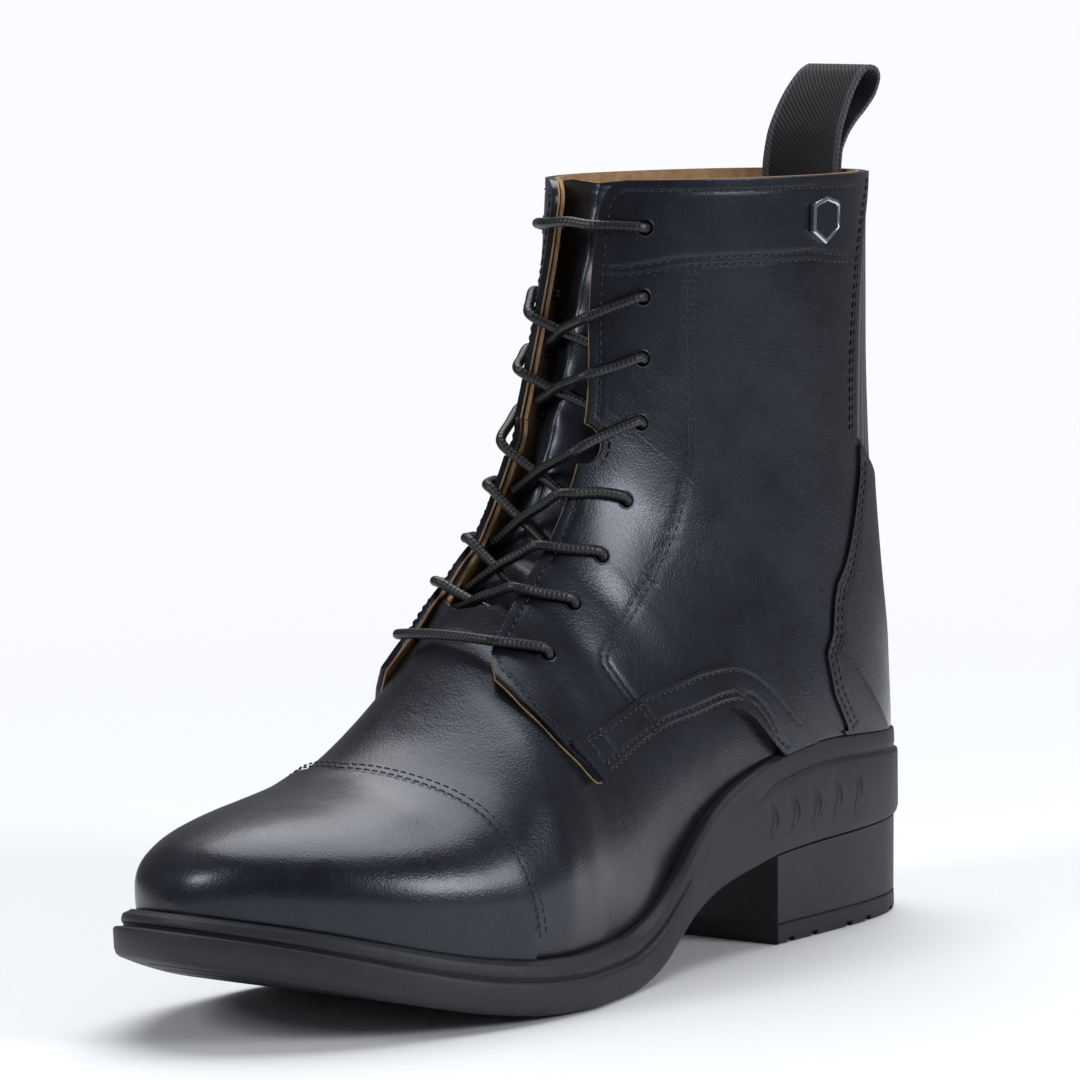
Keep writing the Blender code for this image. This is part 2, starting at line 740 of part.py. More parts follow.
def make_insole(look):
    """The sock that lines the footbed."""
    outer = []
    inner = []
    for row in ROWS:
        if 2.5 < row < 17.5:
            for side, edge in ((1, outer), (-1, inner)):
                x, y, z = surface(row, side)
                edge.append((x - side * (WALL + INSOLE_MARGIN), y, z))
    x, y, z = surface(TAIL, 1)
    ring = outer + [(0, y - WALL - INSOLE_MARGIN, z)] + inner[::-1]
    size = len(ring)
    points = ring + [(x, y, z + INSOLE_THICKNESS) for x, y, z in ring]
    faces = [(i, (i + 1) % size, size + (i + 1) % size, size + i) for i in range(size)]
    half = len(outer)
    for base in (0, size):
        for i in range(half - 1):
            faces.append((base + i, base + i + 1, base + size - i - 2, base + size - i - 1))
        faces.append((base + half - 1, base + half, base + half + 1))
    return solid("insole", points, faces, look)


def opening(cut):
    """Half width of the throat, as a share of the way round."""
    if cut <= THROAT:
        return 0.0
    full = float(read(FACING, "edge", cut)) + 0.012
    return full * min(1.0, math.sqrt((cut - THROAT) / 0.9))


def make_upper(look):
    """The vamp and shaft as one hollow wall, open at the throat, the collar and underneath."""
    outer = []
    inner = []
    faces = []
    tip = surface(0, 0)
    for side in (1, -1):
        base = len(outer)
        for cut in ROWS:
            start = opening(cut)
            for column in COLUMNS:
                share = max(start, column)
                around = side * share if share else 0.0
                if cut == 0:
                    outer.append(tip)
                    inner.append(tip + (0, WALL, 0))
                    continue
                point = skin(cut, around)
                under = skin(cut, around, -WALL)
                if share == 1 and cut < TAIL:
                    under[2] = point[2]
                outer.append(point)
                inner.append(under)
        faces += [[base + i for i in face[::side]] for face in sheet(len(ROWS), len(COLUMNS))]
    return shell("upper", outer, inner, faces, look)


def eyelet_cuts():
    """Cut numbers of the eyelets, from the top down, at their steps along the facing."""
    cuts = []
    target = 0.0
    gone = 0.0
    cut = COLLAR
    here = surface(cut, read(EYELET_LINE, "edge", cut))
    for step in EYELET_STEPS:
        target += step * MM
        while gone < target:
            cut -= 0.02
            there = surface(cut, read(EYELET_LINE, "edge", cut))
            gone += float(np.linalg.norm(there - here))
            here = there
        cuts.append(cut)
    return cuts


def facing_edge(cut):
    """Share of the way round at which the facing ends."""
    return float(read(FACING, "edge", cut))


def quarter_end(cut, side):
    """Share of the way round at which the quarter ends, low down or at the back."""
    if cut < QUARTER_EDGE["at"][-1]:
        return float(read(QUARTER_EDGE, "edge", cut))
    meet = rim_share(cut, side, 2 * GAP + QUARTER_THICKNESS + STRAP_THICKNESS)
    if cut < COUNTER_EDGE["at"][0]:
        return meet
    return min(float(read(COUNTER_EDGE, "edge", cut)), meet - 0.02) - 0.014


def frame_on(cut, around, raised=0.0):
    """Place on the skin whose Z points outward and whose Y points along the boot."""
    here = Vector(skin(cut, around, raised))
    out = (Vector(skin(cut, around, raised + 5 * MM)) - here).normalized()
    along = Vector(skin(cut + 0.1, around, raised) - skin(cut - 0.1, around, raised)).normalized()
    side = along.cross(out).normalized()
    along = out.cross(side)
    turn = Matrix((side, along, out)).transposed().to_4x4()
    return Matrix.Translation(here) @ turn


def punch(name, places, radius, depth):
    """Round cutters through the skin at each place."""
    shape = bmesh.new()
    for place in places:
        bmesh.ops.create_cone(
            shape, cap_ends=True, segments=8, radius1=radius, radius2=radius, depth=depth, matrix=place
        )
    mesh = bpy.data.meshes.new(name)
    shape.to_mesh(mesh)
    shape.free()
    tool = bpy.data.objects.new(name, mesh)
    bpy.context.scene.collection.objects.link(tool)
    return tool


def stand(cut, around):
    """How far the facings' front edge lifts off the vamp low down."""
    low = 1 - min(max((cut - 9.6) / 3.5, 0), 1)
    near = 1 - min(max((abs(around) - facing_edge(cut)) / 0.16, 0), 1)
    return STAND_OFF * low * near * near


def make_quarter(side, name, look):
    """The side of the shaft, with its facing."""
    return patch(
        name,
        rows_between(9.2, COLLAR, 9.43, 10.26, 14.15, 14.4, 14.65, 16.2, 16.9),
        (side,),
        lambda cut, side: (facing_edge(cut), quarter_end(cut, side)),
        lambda cut, around: GAP + stand(cut, around),
        lambda cut, around: GAP + QUARTER_THICKNESS + stand(cut, around),
        look,
    )


def make_strap(side, name, look):
    """The curved strap sewn over the quarter's lower edge."""
    base = 2 * GAP + QUARTER_THICKNESS

    def span(cut, side):
        end = quarter_end(cut, side)
        return min(float(read(STRAP_EDGE, "edge", cut)), end - 0.02), end

    return patch(
        name,
        rows_between(10.0, 15.26, 10.26, 14.15, 14.4, 14.65, 14.9, 15.02, 15.17),
        (side,),
        span,
        lambda cut, around: base + stand(cut, around),
        lambda cut, around: base + STRAP_THICKNESS + stand(cut, around),
        look,
    )


def make_cap(look):
    """The toe cap, over the front of the vamp down to the rim."""
    raised = GAP + CAP_THICKNESS
    start = 0.1
    while skin(start, 0.0, raised)[2] < rim(LENGTH) + 2.5 * GAP:
        start += 0.02
    seam = CAP_SEAM["cut"]
    return patch(
        "toe_cap",
        rows_between(start, seam[-1]),
        (1, -1),
        lambda cut, side: (0, rim_share(cut, side, raised)),
        level(GAP),
        level(raised),
        look,
        lambda share: float(read(CAP_SEAM, "cut", share)),
    )


def make_counter(look):
    """The heel foxing, round the back from one side's edge to the other's."""
    seat = 2.4 * GAP
    raised = seat + COUNTER_THICKNESS

    def span(cut, side):
        end = rim_share(cut, side, raised)
        end = 1.0 if end > 0.995 else end - 0.01
        return min(float(read(COUNTER_EDGE, "edge", cut)), end - 0.01), end

    more = (16.2, 16.9, 18.15, 18.3, 18.45, 18.8, 18.95, 19.05, 19.12, 19.18)
    rows = rows_between(COUNTER_EDGE["at"][0], COUNTER_TOP, *more)
    return patch("heel_counter", rows, (1, -1), span, level(seat), level(raised), look)


def make_gore(look):
    """The elastic at the back of the shaft, above the counter."""
    rows = rows_between(COUNTER_TOP + 0.12, COLLAR)
    return patch(
        "elastic_gore",
        rows,
        (1, -1),
        lambda cut, side: (float(read(COUNTER_EDGE, "edge", cut)) + 0.004, 1.0),
        level(GAP),
        level(GAP + GORE_THICKNESS),
        look,
    )


def tongue_drop(cut):
    """How far the tongue's face lies under the upper's outer face."""
    share = min(max((cut - THROAT + 0.4) / 0.9, 0), 1)
    share = share * share * (3 - 2 * share)
    near = WALL + GAP
    return near + (TONGUE_DROP - near) * share


def make_tongue(look):
    """The tongue, under the throat from the vamp to the collar."""
    return patch(
        "tongue",
        [9.9, 10.2, 10.4, 10.6, 10.85, 11.2, 11.8, 12.8, 14.2, 15.8, 17.5, 19.3, 21, 22.8, COLLAR],
        (1, -1),
        lambda cut, side: (0, 0.31),
        lambda cut, around: -tongue_drop(cut) - TONGUE_THICKNESS,
        lambda cut, around: -tongue_drop(cut),
        look,
    )


def make_loop(look):
    """The webbing pull loop, folded over and sewn inside the back of the collar."""
    edge = skin(COLLAR, 1.0)
    top = edge[2]
    wall = min(skin(cut, 1.0)[1] for cut in (22.5, 23.0, 23.5, 24.0, COLLAR))
    seat = wall - WALL - 2 * GAP - LOOP_THICKNESS / 2
    apart = LOOP_THICKNESS + GAP
    # height as a share of LOOP_RISE, lean back as a share of LOOP_LEAN, and which layer
    path = table(
        "height lean layer",
        (-0.85, 0.00, 1.0),
        (-0.40, 0.00, 1.0),
        (0.00, 0.00, 1.0),
        (0.30, 0.08, 1.0),
        (0.60, 0.36, 1.0),
        (0.82, 0.66, 1.0),
        (0.96, 0.93, 1.0),
        (1.00, 1.13, 1.0),
        (0.97, 1.34, 1.0),
        (0.88, 1.44, 1.0),
        (0.74, 1.34, 1.0),
        (0.60, 1.02, 0.8),
        (0.46, 0.58, 0.5),
        (0.32, 0.22, 0.1),
        (0.16, 0.02, 0.0),
        (0.00, 0.00, 0.0),
        (-0.40, 0.00, 0.0),
        (-0.85, 0.00, 0.0),
    )
    index = np.arange(len(path["height"]), dtype=float)
    steps = np.linspace(0, index[-1], 32)
    height = smooth(index, path["height"], steps) * LOOP_RISE
    back = smooth(index, path["lean"], steps) * LOOP_LEAN - smooth(index, path["layer"], steps) * apart
    line = np.stack([back, height], 1)
    run = np.gradient(line, axis=0)
    run /= np.linalg.norm(run, axis=1)[:, None]
    columns = 5
    outer = []
    inner = []
    for (lean, rise), (along, up) in zip(line, run):
        free = min(max(rise / LOOP_RISE, 0), 1)
        twist = math.radians(LOOP_TWIST) * free * free
        for j in range(columns):
            across = (j / (columns - 1) - 0.5) * LOOP_WIDTH
            bow = (1 - free) * across * across * 1.9 / BALL_WIDTH
            for half, out in ((0.5, outer), (-0.5, inner)):
                y = lean - bow + up * half * LOOP_THICKNESS
                z = rise - along * half * LOOP_THICKNESS
                x = across * math.cos(twist) + y * math.sin(twist)
                y = y * math.cos(twist) - across * math.sin(twist)
                out.append((x, seat + y, top + z))
    return shell("pull_loop", outer, inner, sheet(len(line), columns), look)


def make_badge(look):
    """A plain six-sided shield on the outer side of the shaft."""
    seat = GAP + QUARTER_THICKNESS + GAP
    place = frame_on(23.94, 0.655, seat)
    outline_points = [(-0.5, 0.30), (0, 0.5), (0.5, 0.30), (0.5, -0.22), (0, -0.5), (-0.5, -0.22)]
    levels = []
    for share, height in ((1.0, 0.15 * MM), (1.0, BADGE_THICKNESS * 0.7), (0.86, BADGE_THICKNESS)):
        ring = []
        for u, v in outline_points:
            spot = place @ Vector((u * share * BADGE_WIDTH, v * share * BADGE_HEIGHT, height))
            ring.append(tuple(spot))
        levels.append(ring)
    return prism("badge", levels, look)


def tube(name, points, radius, look):
    """Round cord through the points, with flat ends."""
    line = np.array(points, float)
    steps = np.linspace(0, len(line) - 1, 2 * (len(line) - 1) + 1)
    index = np.arange(len(line), dtype=float)
    line = np.stack([smooth(index, line[:, k], steps) for k in range(3)], 1)
    run = np.gradient(line, axis=0)
    run /= np.linalg.norm(run, axis=1)[:, None]
    side = np.cross(run, (0, 0.35, 1.0))
    side /= np.linalg.norm(side, axis=1)[:, None]
    up = np.cross(side, run)
    rings = []
    for i in range(len(line)):
        rings.append(
            [
                tuple(line[i] + radius * (math.cos(a) * side[i] + math.sin(a) * up[i]))
                for a in (math.tau * k / 6 for k in range(6))
            ]
        )
    return prism(name, rings, look)


def lace_height(cut, around):
    """Height of a lace's middle where it lies on a facing."""
    return GAP + QUARTER_THICKNESS + GAP + LACE_DIAMETER / 2 + stand(cut, around)


def over_facing(side, start, end):
    """Points of a lace over a facing, from beside its eyelet at one cut to the lip at another."""
    near = float(read(EYELET_LINE, "edge", start)) - 0.006
    lip = facing_edge(end) - 0.016
    points = []
    for share in (0, 0.5, 1.0):
        cut = start + (end - start) * share
        around = near + (lip - near) * share
        points.append(skin(cut, side * around, lace_height(cut, around)))
    return points


def strand(side, start, lip, end, lifted):
    """Points of a lace from over one facing to under the other."""
    points = over_facing(side, start, lip)
    under = WALL + 1.5 * GAP + LACE_DIAMETER / 2
    last = skin(end, -side * (facing_edge(end) + 0.012), -under)
    here = points[-1]
    for share in (0.25, 0.5, 0.75):
        rise = lifted * (1 - abs(2 * share - 1))
        points.append(here + (last - here) * share + np.array([0, -0.7 * rise, 0.7 * rise]))
    points.append(last)
    return points


def make_laces(look):
    """The lace where it shows: a bar at each end and a crossing between each two rows."""
    cuts = eyelet_cuts()
    for name, cut, drop in (("lace_bar_top", cuts[0], 0.3), ("lace_bar_bottom", cuts[-1], 1.05)):
        outer = over_facing(1, cut, cut - drop)
        inner = over_facing(-1, cut, cut - drop)
        middle = (outer[-1] + inner[-1]) / 2 + np.array([0, -0.8 * MM, 0.8 * MM])
        tube(name, outer + [middle] + inner[::-1], LACE_DIAMETER / 2, look)
    for row, fall in zip(range(1, 7), LACE_FALL):
        pitch = cuts[row + 1] - cuts[row]
        lip = cuts[row] + pitch * fall
        end = max(cuts[row] + pitch * 1.3, THROAT + 0.5)
        name = f"lace_cross_{row}"
        apart = 0.38 * LACE_DIAMETER
        first = tube(name, strand(-1, cuts[row], lip, end, -apart), LACE_DIAMETER / 2, look)
        second = tube(name + "_over", strand(1, cuts[row], lip, end, apart), LACE_DIAMETER / 2, None)
        boolean(first, second, "UNION")


def cut_eyelets(quarters, upper):
    """The eyelets and the flex notch, through both quarters and the lining wall."""
    rows = eyelet_cuts()
    notch = rows[4] + 0.28 * (rows[3] - rows[4])
    for side in (1, -1):
        places = [frame_on(cut, side * float(read(EYELET_LINE, "edge", cut))) for cut in rows]
        holes = punch(f"holes_{side}", places, EYELET_DIAMETER / 2, 16 * MM)
        bite = punch(f"bite_{side}", [frame_on(notch, side * facing_edge(notch))], NOTCH_DIAMETER / 2, 12 * MM)
        for piece in (quarters[side], upper):
            boolean(piece, holes, "DIFFERENCE")
            boolean(piece, bite, "DIFFERENCE")


def make_pieces():
    """Every piece of the boot."""
    leather = material("black_leather", 0.012, 0.013, 0.016, 0.38)
    rubber = material("black_rubber", 0.022, 0.023, 0.026, 0.62)
    lift_rubber = material("lift_rubber", 0.018, 0.019, 0.021, 0.66)
    suede = material("tan_suede", 0.45, 0.29, 0.14, 0.85)
    elastic = material("black_elastic", 0.016, 0.016, 0.020, 0.80)
    cord = material("waxed_cord", 0.014, 0.014, 0.017, 0.55)
    chrome = material("badge_chrome", 0.55, 0.56, 0.58, 0.20, 1.0)
    make_outsole(rubber)
    make_heel(rubber, lift_rubber)
    make_insole(suede)
    upper = make_upper(leather)
    quarters = {}
    for side, name in ((1, "lateral"), (-1, "medial")):
        quarters[side] = make_quarter(side, f"quarter_{name}", leather)
        make_strap(side, f"strap_{name}", leather)
    make_cap(leather)
    make_counter(leather)
    make_gore(elastic)
    make_tongue(leather)
    make_loop(elastic)
    make_badge(chrome)
    make_laces(cord)
    cut_eyelets(quarters, upper)


def main():
    for item in list(bpy.data.objects):
        bpy.data.objects.remove(item, do_unlink=True)
    make_pieces()


main()
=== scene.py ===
# %% [markdown]
# # A paddock boot in black leather
#
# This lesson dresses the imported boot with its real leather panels, stitches, lace and rubber sole.
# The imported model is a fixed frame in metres: the toe points to -Y, the outer side is +X, and the
# origin is on the ground under the heel. Every piece is rebuilt on the same last as the frame's
# solids, only finer, so each one lies exactly where its solid lies.

# %% Load the frame
import math
import bmesh
import bpy
import numpy as np
from mathutils import Matrix, Vector, kdtree


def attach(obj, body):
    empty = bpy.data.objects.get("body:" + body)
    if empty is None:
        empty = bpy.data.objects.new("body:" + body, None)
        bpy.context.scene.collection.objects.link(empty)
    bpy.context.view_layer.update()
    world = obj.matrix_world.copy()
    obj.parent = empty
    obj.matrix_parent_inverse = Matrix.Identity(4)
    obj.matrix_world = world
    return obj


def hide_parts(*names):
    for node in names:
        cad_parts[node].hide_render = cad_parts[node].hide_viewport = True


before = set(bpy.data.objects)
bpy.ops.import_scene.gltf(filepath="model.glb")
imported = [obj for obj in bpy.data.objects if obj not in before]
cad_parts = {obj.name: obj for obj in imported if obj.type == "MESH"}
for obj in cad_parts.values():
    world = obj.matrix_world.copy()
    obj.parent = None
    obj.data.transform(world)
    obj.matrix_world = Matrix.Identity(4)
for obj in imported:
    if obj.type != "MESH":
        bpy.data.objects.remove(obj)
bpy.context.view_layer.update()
MM = 0.001
print("nodes in the frame:", len(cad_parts))

# %% [markdown]
# The camera stands where the photographer stood, on the outer side in front of the boot, a little
# above it and some way off, with a long lens. White paper lies under the boot and fades out at
# half a metre, so that the leather mirrors paper only low down. The world is bright where the
# camera sees it and dim where the leather mirrors it, as in a studio with a lit backdrop.

# %% Camera, floor and world
def turned_camera(azimuth, pitch, roll, distance, look, lens):
    """A camera that looks at a point from a compass direction, a height angle and a distance."""
    a, p, r = (math.radians(v) for v in (azimuth, pitch, roll))
    back = Vector((math.sin(a) * math.cos(p), -math.cos(a) * math.cos(p), math.sin(p)))
    right = (-back).cross(Vector((0, 0, 1))).normalized()
    up = right.cross(-back)
    across = right * math.cos(r) + up * math.sin(r)
    above = up * math.cos(r) - right * math.sin(r)
    data = bpy.data.cameras.new("camera")
    data.lens = lens
    data.sensor_width = 36
    data.clip_end = 50
    camera = bpy.data.objects.new("camera", data)
    turn = Matrix((across, above, back)).transposed().to_4x4()
    camera.matrix_world = Matrix.Translation(look + back * distance) @ turn
    bpy.context.scene.collection.objects.link(camera)
    return camera


LOOK = Vector((1.28, -105.6, 124.64)) * MM
bpy.context.scene.camera = turned_camera(
    azimuth=39.5, pitch=6.3, roll=-1.3, distance=1.7867, look=LOOK, lens=206.87
)


def linear(code):
    """An sRGB hex colour as linear red, green, blue and alpha."""
    parts = [int(code[i:i + 2], 16) / 255 for i in (1, 3, 5)]
    return tuple(c / 12.92 if c <= 0.04045 else ((c + 0.055) / 1.055) ** 2.4 for c in parts) + (1.0,)


def add_node(tree, kind, inputs=None, links=None, **settings):
    """Adds a shader node with its settings, fixed inputs and incoming links."""
    node = tree.nodes.new("ShaderNode" + kind)
    for name, value in settings.items():
        setattr(node, name, value)
    for name, value in (inputs or {}).items():
        node.inputs[name].default_value = value
    for name, source in (links or {}).items():
        tree.links.new(source, node.inputs[name])
    return node


def new_material(name, colour, roughness, **sockets):
    """A Principled material with its constant values, its tree and its shader."""
    item = bpy.data.materials.new(name)
    item.use_nodes = True
    shader = item.node_tree.nodes["Principled BSDF"]
    shader.inputs["Base Color"].default_value = linear(colour)
    shader.inputs["Roughness"].default_value = roughness
    for socket, value in sockets.items():
        shader.inputs[socket.replace("_", " ")].default_value = value
    return item, item.node_tree, shader


def link_mesh(name, mesh, look=None):
    """Puts a mesh into the scene, in its material."""
    if look:
        mesh.materials.append(look)
    piece = bpy.data.objects.new(name, mesh)
    bpy.context.scene.collection.objects.link(piece)
    return piece


floor_mesh = bpy.data.meshes.new("floor")
floor_mesh.from_pydata([(-30, -30, 0), (30, -30, 0), (30, 30, 0), (-30, 30, 0)], [], [(0, 1, 2, 3)])
paper, tree, shader = new_material("white_paper", "#f6f8fb", 0.75)
floor = link_mesh("floor", floor_mesh, paper)
where = add_node(tree, "TexCoord").outputs["Object"]
far_off = add_node(tree, "VectorMath", None, {0: where}, operation="LENGTH")
fade = add_node(tree, "MapRange", {"From Min": 0.4, "From Max": 0.9}, {"Value": far_off.outputs["Value"]})
clear = add_node(tree, "BsdfTransparent")
both = add_node(
    tree, "MixShader", None, {0: fade.outputs["Result"], 1: shader.outputs[0], 2: clear.outputs[0]}
)
tree.links.new(both.outputs[0], tree.nodes["Material Output"].inputs["Surface"])

world = bpy.data.worlds.new("studio")
bpy.context.scene.world = world
world.use_nodes = True
bpy.context.scene.view_settings.view_transform = "Standard"
sky = world.node_tree
seen = sky.nodes["Background"]
seen.inputs["Color"].default_value = linear("#fbfcff")
seen.inputs["Strength"].default_value = 1.0
dim = add_node(sky, "Background", {"Color": linear("#e6ebf5"), "Strength": 0.2})
rays = add_node(sky, "LightPath")
both = add_node(
    sky, "MixShader", None, {0: rays.outputs["Is Camera Ray"], 1: dim.outputs[0], 2: seen.outputs[0]}
)
sky.links.new(both.outputs[0], sky.nodes["World Output"].inputs["Surface"])

# %% [markdown]
# A wide panel of light overhead, one soft box in front for the toe, and one to the right that
# draws the long soft highlight down the quarter. The leather's gloss shows the boxes as soft
# patches, as in the photograph.

# %% Lights
def soft_box(name, place, aim, size, power):
    """A square area light that faces a point."""
    data = bpy.data.lights.new(name, "AREA")
    data.energy = power
    data.size = size
    item = bpy.data.objects.new(name, data)
    item.location = place
    item.rotation_euler = (Vector(aim) - Vector(place)).to_track_quat("-Z", "Y").to_euler()
    bpy.context.scene.collection.objects.link(item)


sun_data = bpy.data.lights.new("sky_panel", "SUN")
sun_data.energy = 2.35
sun_data.angle = math.radians(55)
sun = bpy.data.objects.new("sky_panel", sun_data)
sun.rotation_euler = (math.radians(-22), math.radians(-12), 0)
bpy.context.scene.collection.objects.link(sun)
soft_box("front_low", (-0.5, -1.6, 1.0), (0, -0.18, 0.08), size=0.5, power=9)
soft_box("right", (1.6, 0.25, 0.75), (0, -0.02, 0.12), size=0.6, power=13)

# %% [markdown]
# ## The last
# A boot is pulled over a last, and every panel's shape comes from it. The tables are the same as
# the frame's: the sole's outline and side, and 26 flat cuts through the foot and shaft. A point on
# the leather is named by its cut, from 0 at the toe to 25 at the collar, and by how far round it
# lies from the crest, -1 on the inner side to 1 on the outer.

# %% Sizes and tables
LENGTH = 305 * MM
BALL_WIDTH = 108 * MM
HEEL_HEIGHT = 28 * MM
HEEL_LENGTH = 86 * MM
TOE_SPRING = 24.5 * MM
SOLE_THICKNESS = 10 * MM
CUP_HEIGHT = 31 * MM
SOLE_EDGE_ROUND = 1.6 * MM
GROOVE_DEPTH = 2.0 * MM
LIFT_THICKNESS = 6 * MM
HEEL_INSET = 1.4 * MM
SHAFT_RISE = 185 * MM
WALL = 2.0 * MM
QUARTER_THICKNESS = 1.6 * MM
CAP_THICKNESS = 1.3 * MM
STRAP_THICKNESS = 1.1 * MM
COUNTER_THICKNESS = 2.2 * MM
GORE_THICKNESS = 1.0 * MM
TONGUE_THICKNESS = 2.2 * MM
TONGUE_DROP = 10.4 * MM
STAND_OFF = 2.5 * MM
EYELET_DIAMETER = 4.6 * MM
EYELET_STEPS = [13.5, 20, 18, 18.5, 23.5, 19.5, 19, 20.5]
NOTCH_DIAMETER = 12 * MM
LACE_DIAMETER = 3.0 * MM
LACE_FALL = [0.92, 0.90, 0.88, 0.60, 0.60, 0.60]
GAP = 0.3 * MM


def table(columns, text):
    """Rows of numbers as one array for each named column."""
    rows = np.array([[float(v) for v in line.split()] for line in text.strip().splitlines()])
    return {name: rows[:, i] for i, name in enumerate(columns.split())}


OUTLINE = table("at lateral medial", """
0.000 0.000 0.000
0.012 0.150 0.146
0.040 0.246 0.240
0.090 0.310 0.307
0.160 0.338 0.336
0.240 0.346 0.336
0.330 0.357 0.310
0.420 0.380 0.280
0.510 0.430 0.305
0.600 0.494 0.380
0.650 0.518 0.425
0.700 0.514 0.460
0.760 0.486 0.482
0.830 0.426 0.478
0.890 0.343 0.435
0.940 0.231 0.372
0.975 0.102 0.300
1.000 -0.098 0.098
""")
SIDE = table("at arch spring rim width groove cut", """
0.000 1.050 0.000 0.850 6.0 7.0 0.60
0.100 1.025 0.000 0.940 6.0 7.2 0.60
0.200 1.000 0.000 1.000 6.0 7.6 0.60
0.275 0.955 0.000 0.960 6.0 8.0 0.60
0.328 0.864 0.000 0.910 6.0 9.0 0.00
0.361 0.800 0.000 0.855 6.2 8.0 0.00
0.393 0.707 0.000 0.775 6.5 7.0 0.00
0.426 0.564 0.000 0.655 7.0 6.3 0.15
0.459 0.357 0.000 0.560 7.5 6.0 0.60
0.492 0.157 0.000 0.530 8.0 5.8 0.90
0.525 0.045 0.000 0.515 8.5 5.7 1.00
0.557 0.000 0.000 0.505 9.0 5.7 1.00
0.640 0.000 0.000 0.500 9.0 5.7 1.00
0.689 0.000 0.030 0.500 9.0 5.7 1.00
0.754 0.000 0.140 0.500 9.0 5.7 1.00
0.803 0.000 0.270 0.500 9.0 5.7 1.00
0.852 0.000 0.435 0.500 9.0 5.7 1.00
0.902 0.000 0.630 0.490 9.0 5.5 1.10
0.951 0.000 0.825 0.465 9.0 5.1 1.35
1.000 0.000 1.000 0.440 9.0 4.6 1.60
""")
LAST = table("low rise high lift swell lateral medial free ridge belly outer inner", """
0.972 0.000 0.972 0.020 0.002 0.100 0.100 0.0 -0.097 0.50 2.50 2.50
0.965 0.000 0.965 0.070 0.010 0.150 0.150 0.0 -0.094 0.50 2.45 2.45
0.948 0.000 0.948 0.112 0.018 0.200 0.200 0.0 -0.090 0.48 2.35 2.35
0.918 0.000 0.918 0.151 0.024 0.250 0.250 0.0 -0.086 0.45 2.25 2.25
0.875 0.000 0.875 0.192 0.028 0.300 0.300 0.0 -0.083 0.42 2.16 2.16
0.820 0.000 0.820 0.233 0.032 0.350 0.350 0.0 -0.081 0.40 2.10 2.10
0.760 0.000 0.760 0.277 0.036 0.400 0.400 0.0 -0.080 0.38 2.04 2.04
0.705 0.000 0.708 0.333 0.040 0.440 0.400 0.0 -0.079 0.35 2.00 2.00
0.655 0.000 0.667 0.390 0.040 0.460 0.400 0.2 -0.078 0.33 2.00 2.00
0.605 0.000 0.630 0.445 0.036 0.447 0.375 0.6 -0.076 0.30 1.95 2.00
0.550 0.000 0.598 0.495 0.032 0.403 0.350 0.9 -0.072 0.28 1.90 2.05
0.490 0.000 0.571 0.520 0.028 0.375 0.338 1.0 -0.067 0.26 1.85 2.10
0.425 0.000 0.545 0.500 0.026 0.343 0.334 1.0 -0.062 0.25 1.80 2.14
0.355 0.000 0.523 0.503 0.024 0.330 0.332 1.0 -0.057 0.24 1.80 2.15
0.275 0.000 0.504 0.530 0.024 0.322 0.330 1.0 -0.052 0.24 1.80 2.15
0.180 0.000 0.490 0.576 0.024 0.315 0.326 1.0 -0.047 0.25 1.80 2.15
0.100 0.000 0.479 0.621 0.024 0.312 0.320 1.0 -0.042 0.27 1.80 2.15
0.048 0.000 0.470 0.664 0.024 0.310 0.316 1.0 -0.036 0.30 1.80 2.15
0.0215 0.000 0.462 0.707 0.024 0.308 0.312 1.0 -0.031 0.33 1.80 2.14
0.015 0.070 0.455 0.750 0.024 0.306 0.308 1.0 -0.026 0.36 1.80 2.10
0.0145 0.170 0.448 0.799 0.024 0.305 0.306 1.0 -0.020 0.39 1.80 2.02
0.024 0.320 0.4405 0.857 0.024 0.308 0.306 1.0 -0.014 0.42 1.80 1.92
0.036 0.500 0.433 0.914 0.024 0.320 0.314 1.0 -0.008 0.45 1.79 1.82
0.0425 0.720 0.427 0.965 0.024 0.338 0.328 1.0 -0.003 0.48 1.77 1.74
0.0425 0.900 0.423 0.996 0.024 0.350 0.338 1.0 0.000 0.50 1.75 1.69
0.041 1.000 0.4215 1.014 0.024 0.357 0.343 1.0 0.000 0.50 1.74 1.67
""")
LAST["at"] = np.arange(26.0)
COLLAR = 25.0
TAIL = 18.0
SHOULDER = 0.62
BACK_SQUARE = 0.2
THROAT = 10.6
COUNTER_TOP = 21.8
FACING = table("at edge", """
9.2 0.185
9.7 0.153
10.5 0.147
13.0 0.145
15.0 0.149
17.5 0.141
19.0 0.131
20.5 0.114
22.2 0.105
24.0 0.105
25.0 0.113
""")
QUARTER_EDGE = table("at edge", """
9.20 0.250
9.43 0.357
9.83 0.423
10.26 0.473
11.35 0.490
12.20 0.507
13.05 0.523
14.15 0.546
14.40 0.580
14.50 0.650
14.65 0.760
""")
STRAP_EDGE = table("at edge", """
9.98 0.385
11.14 0.412
12.26 0.437
13.55 0.464
14.26 0.481
14.74 0.500
15.02 0.530
15.17 0.580
15.30 0.700
""")
COUNTER_EDGE = table("at edge", """
15.95 0.760
16.13 0.695
16.43 0.622
17.27 0.582
18.70 0.599
20.03 0.656
21.09 0.711
21.54 0.733
22.68 0.755
23.60 0.780
24.30 0.812
25.00 0.845
""")
EYELET_LINE = table("at edge", """
9.0 0.256
12.0 0.252
15.0 0.245
20.0 0.236
22.8 0.223
25.0 0.215
""")
CAP_SEAM = table("at cut", """
0.00 6.10
0.15 6.24
0.35 6.52
0.55 6.70
0.68 6.89
1.00 7.10
""")

# %% [markdown]
# The tables are read through a smooth curve that makes no false bumps. `surface` gives a point of
# the last for many places at once, and `skin` raises it along the leather's own direction.

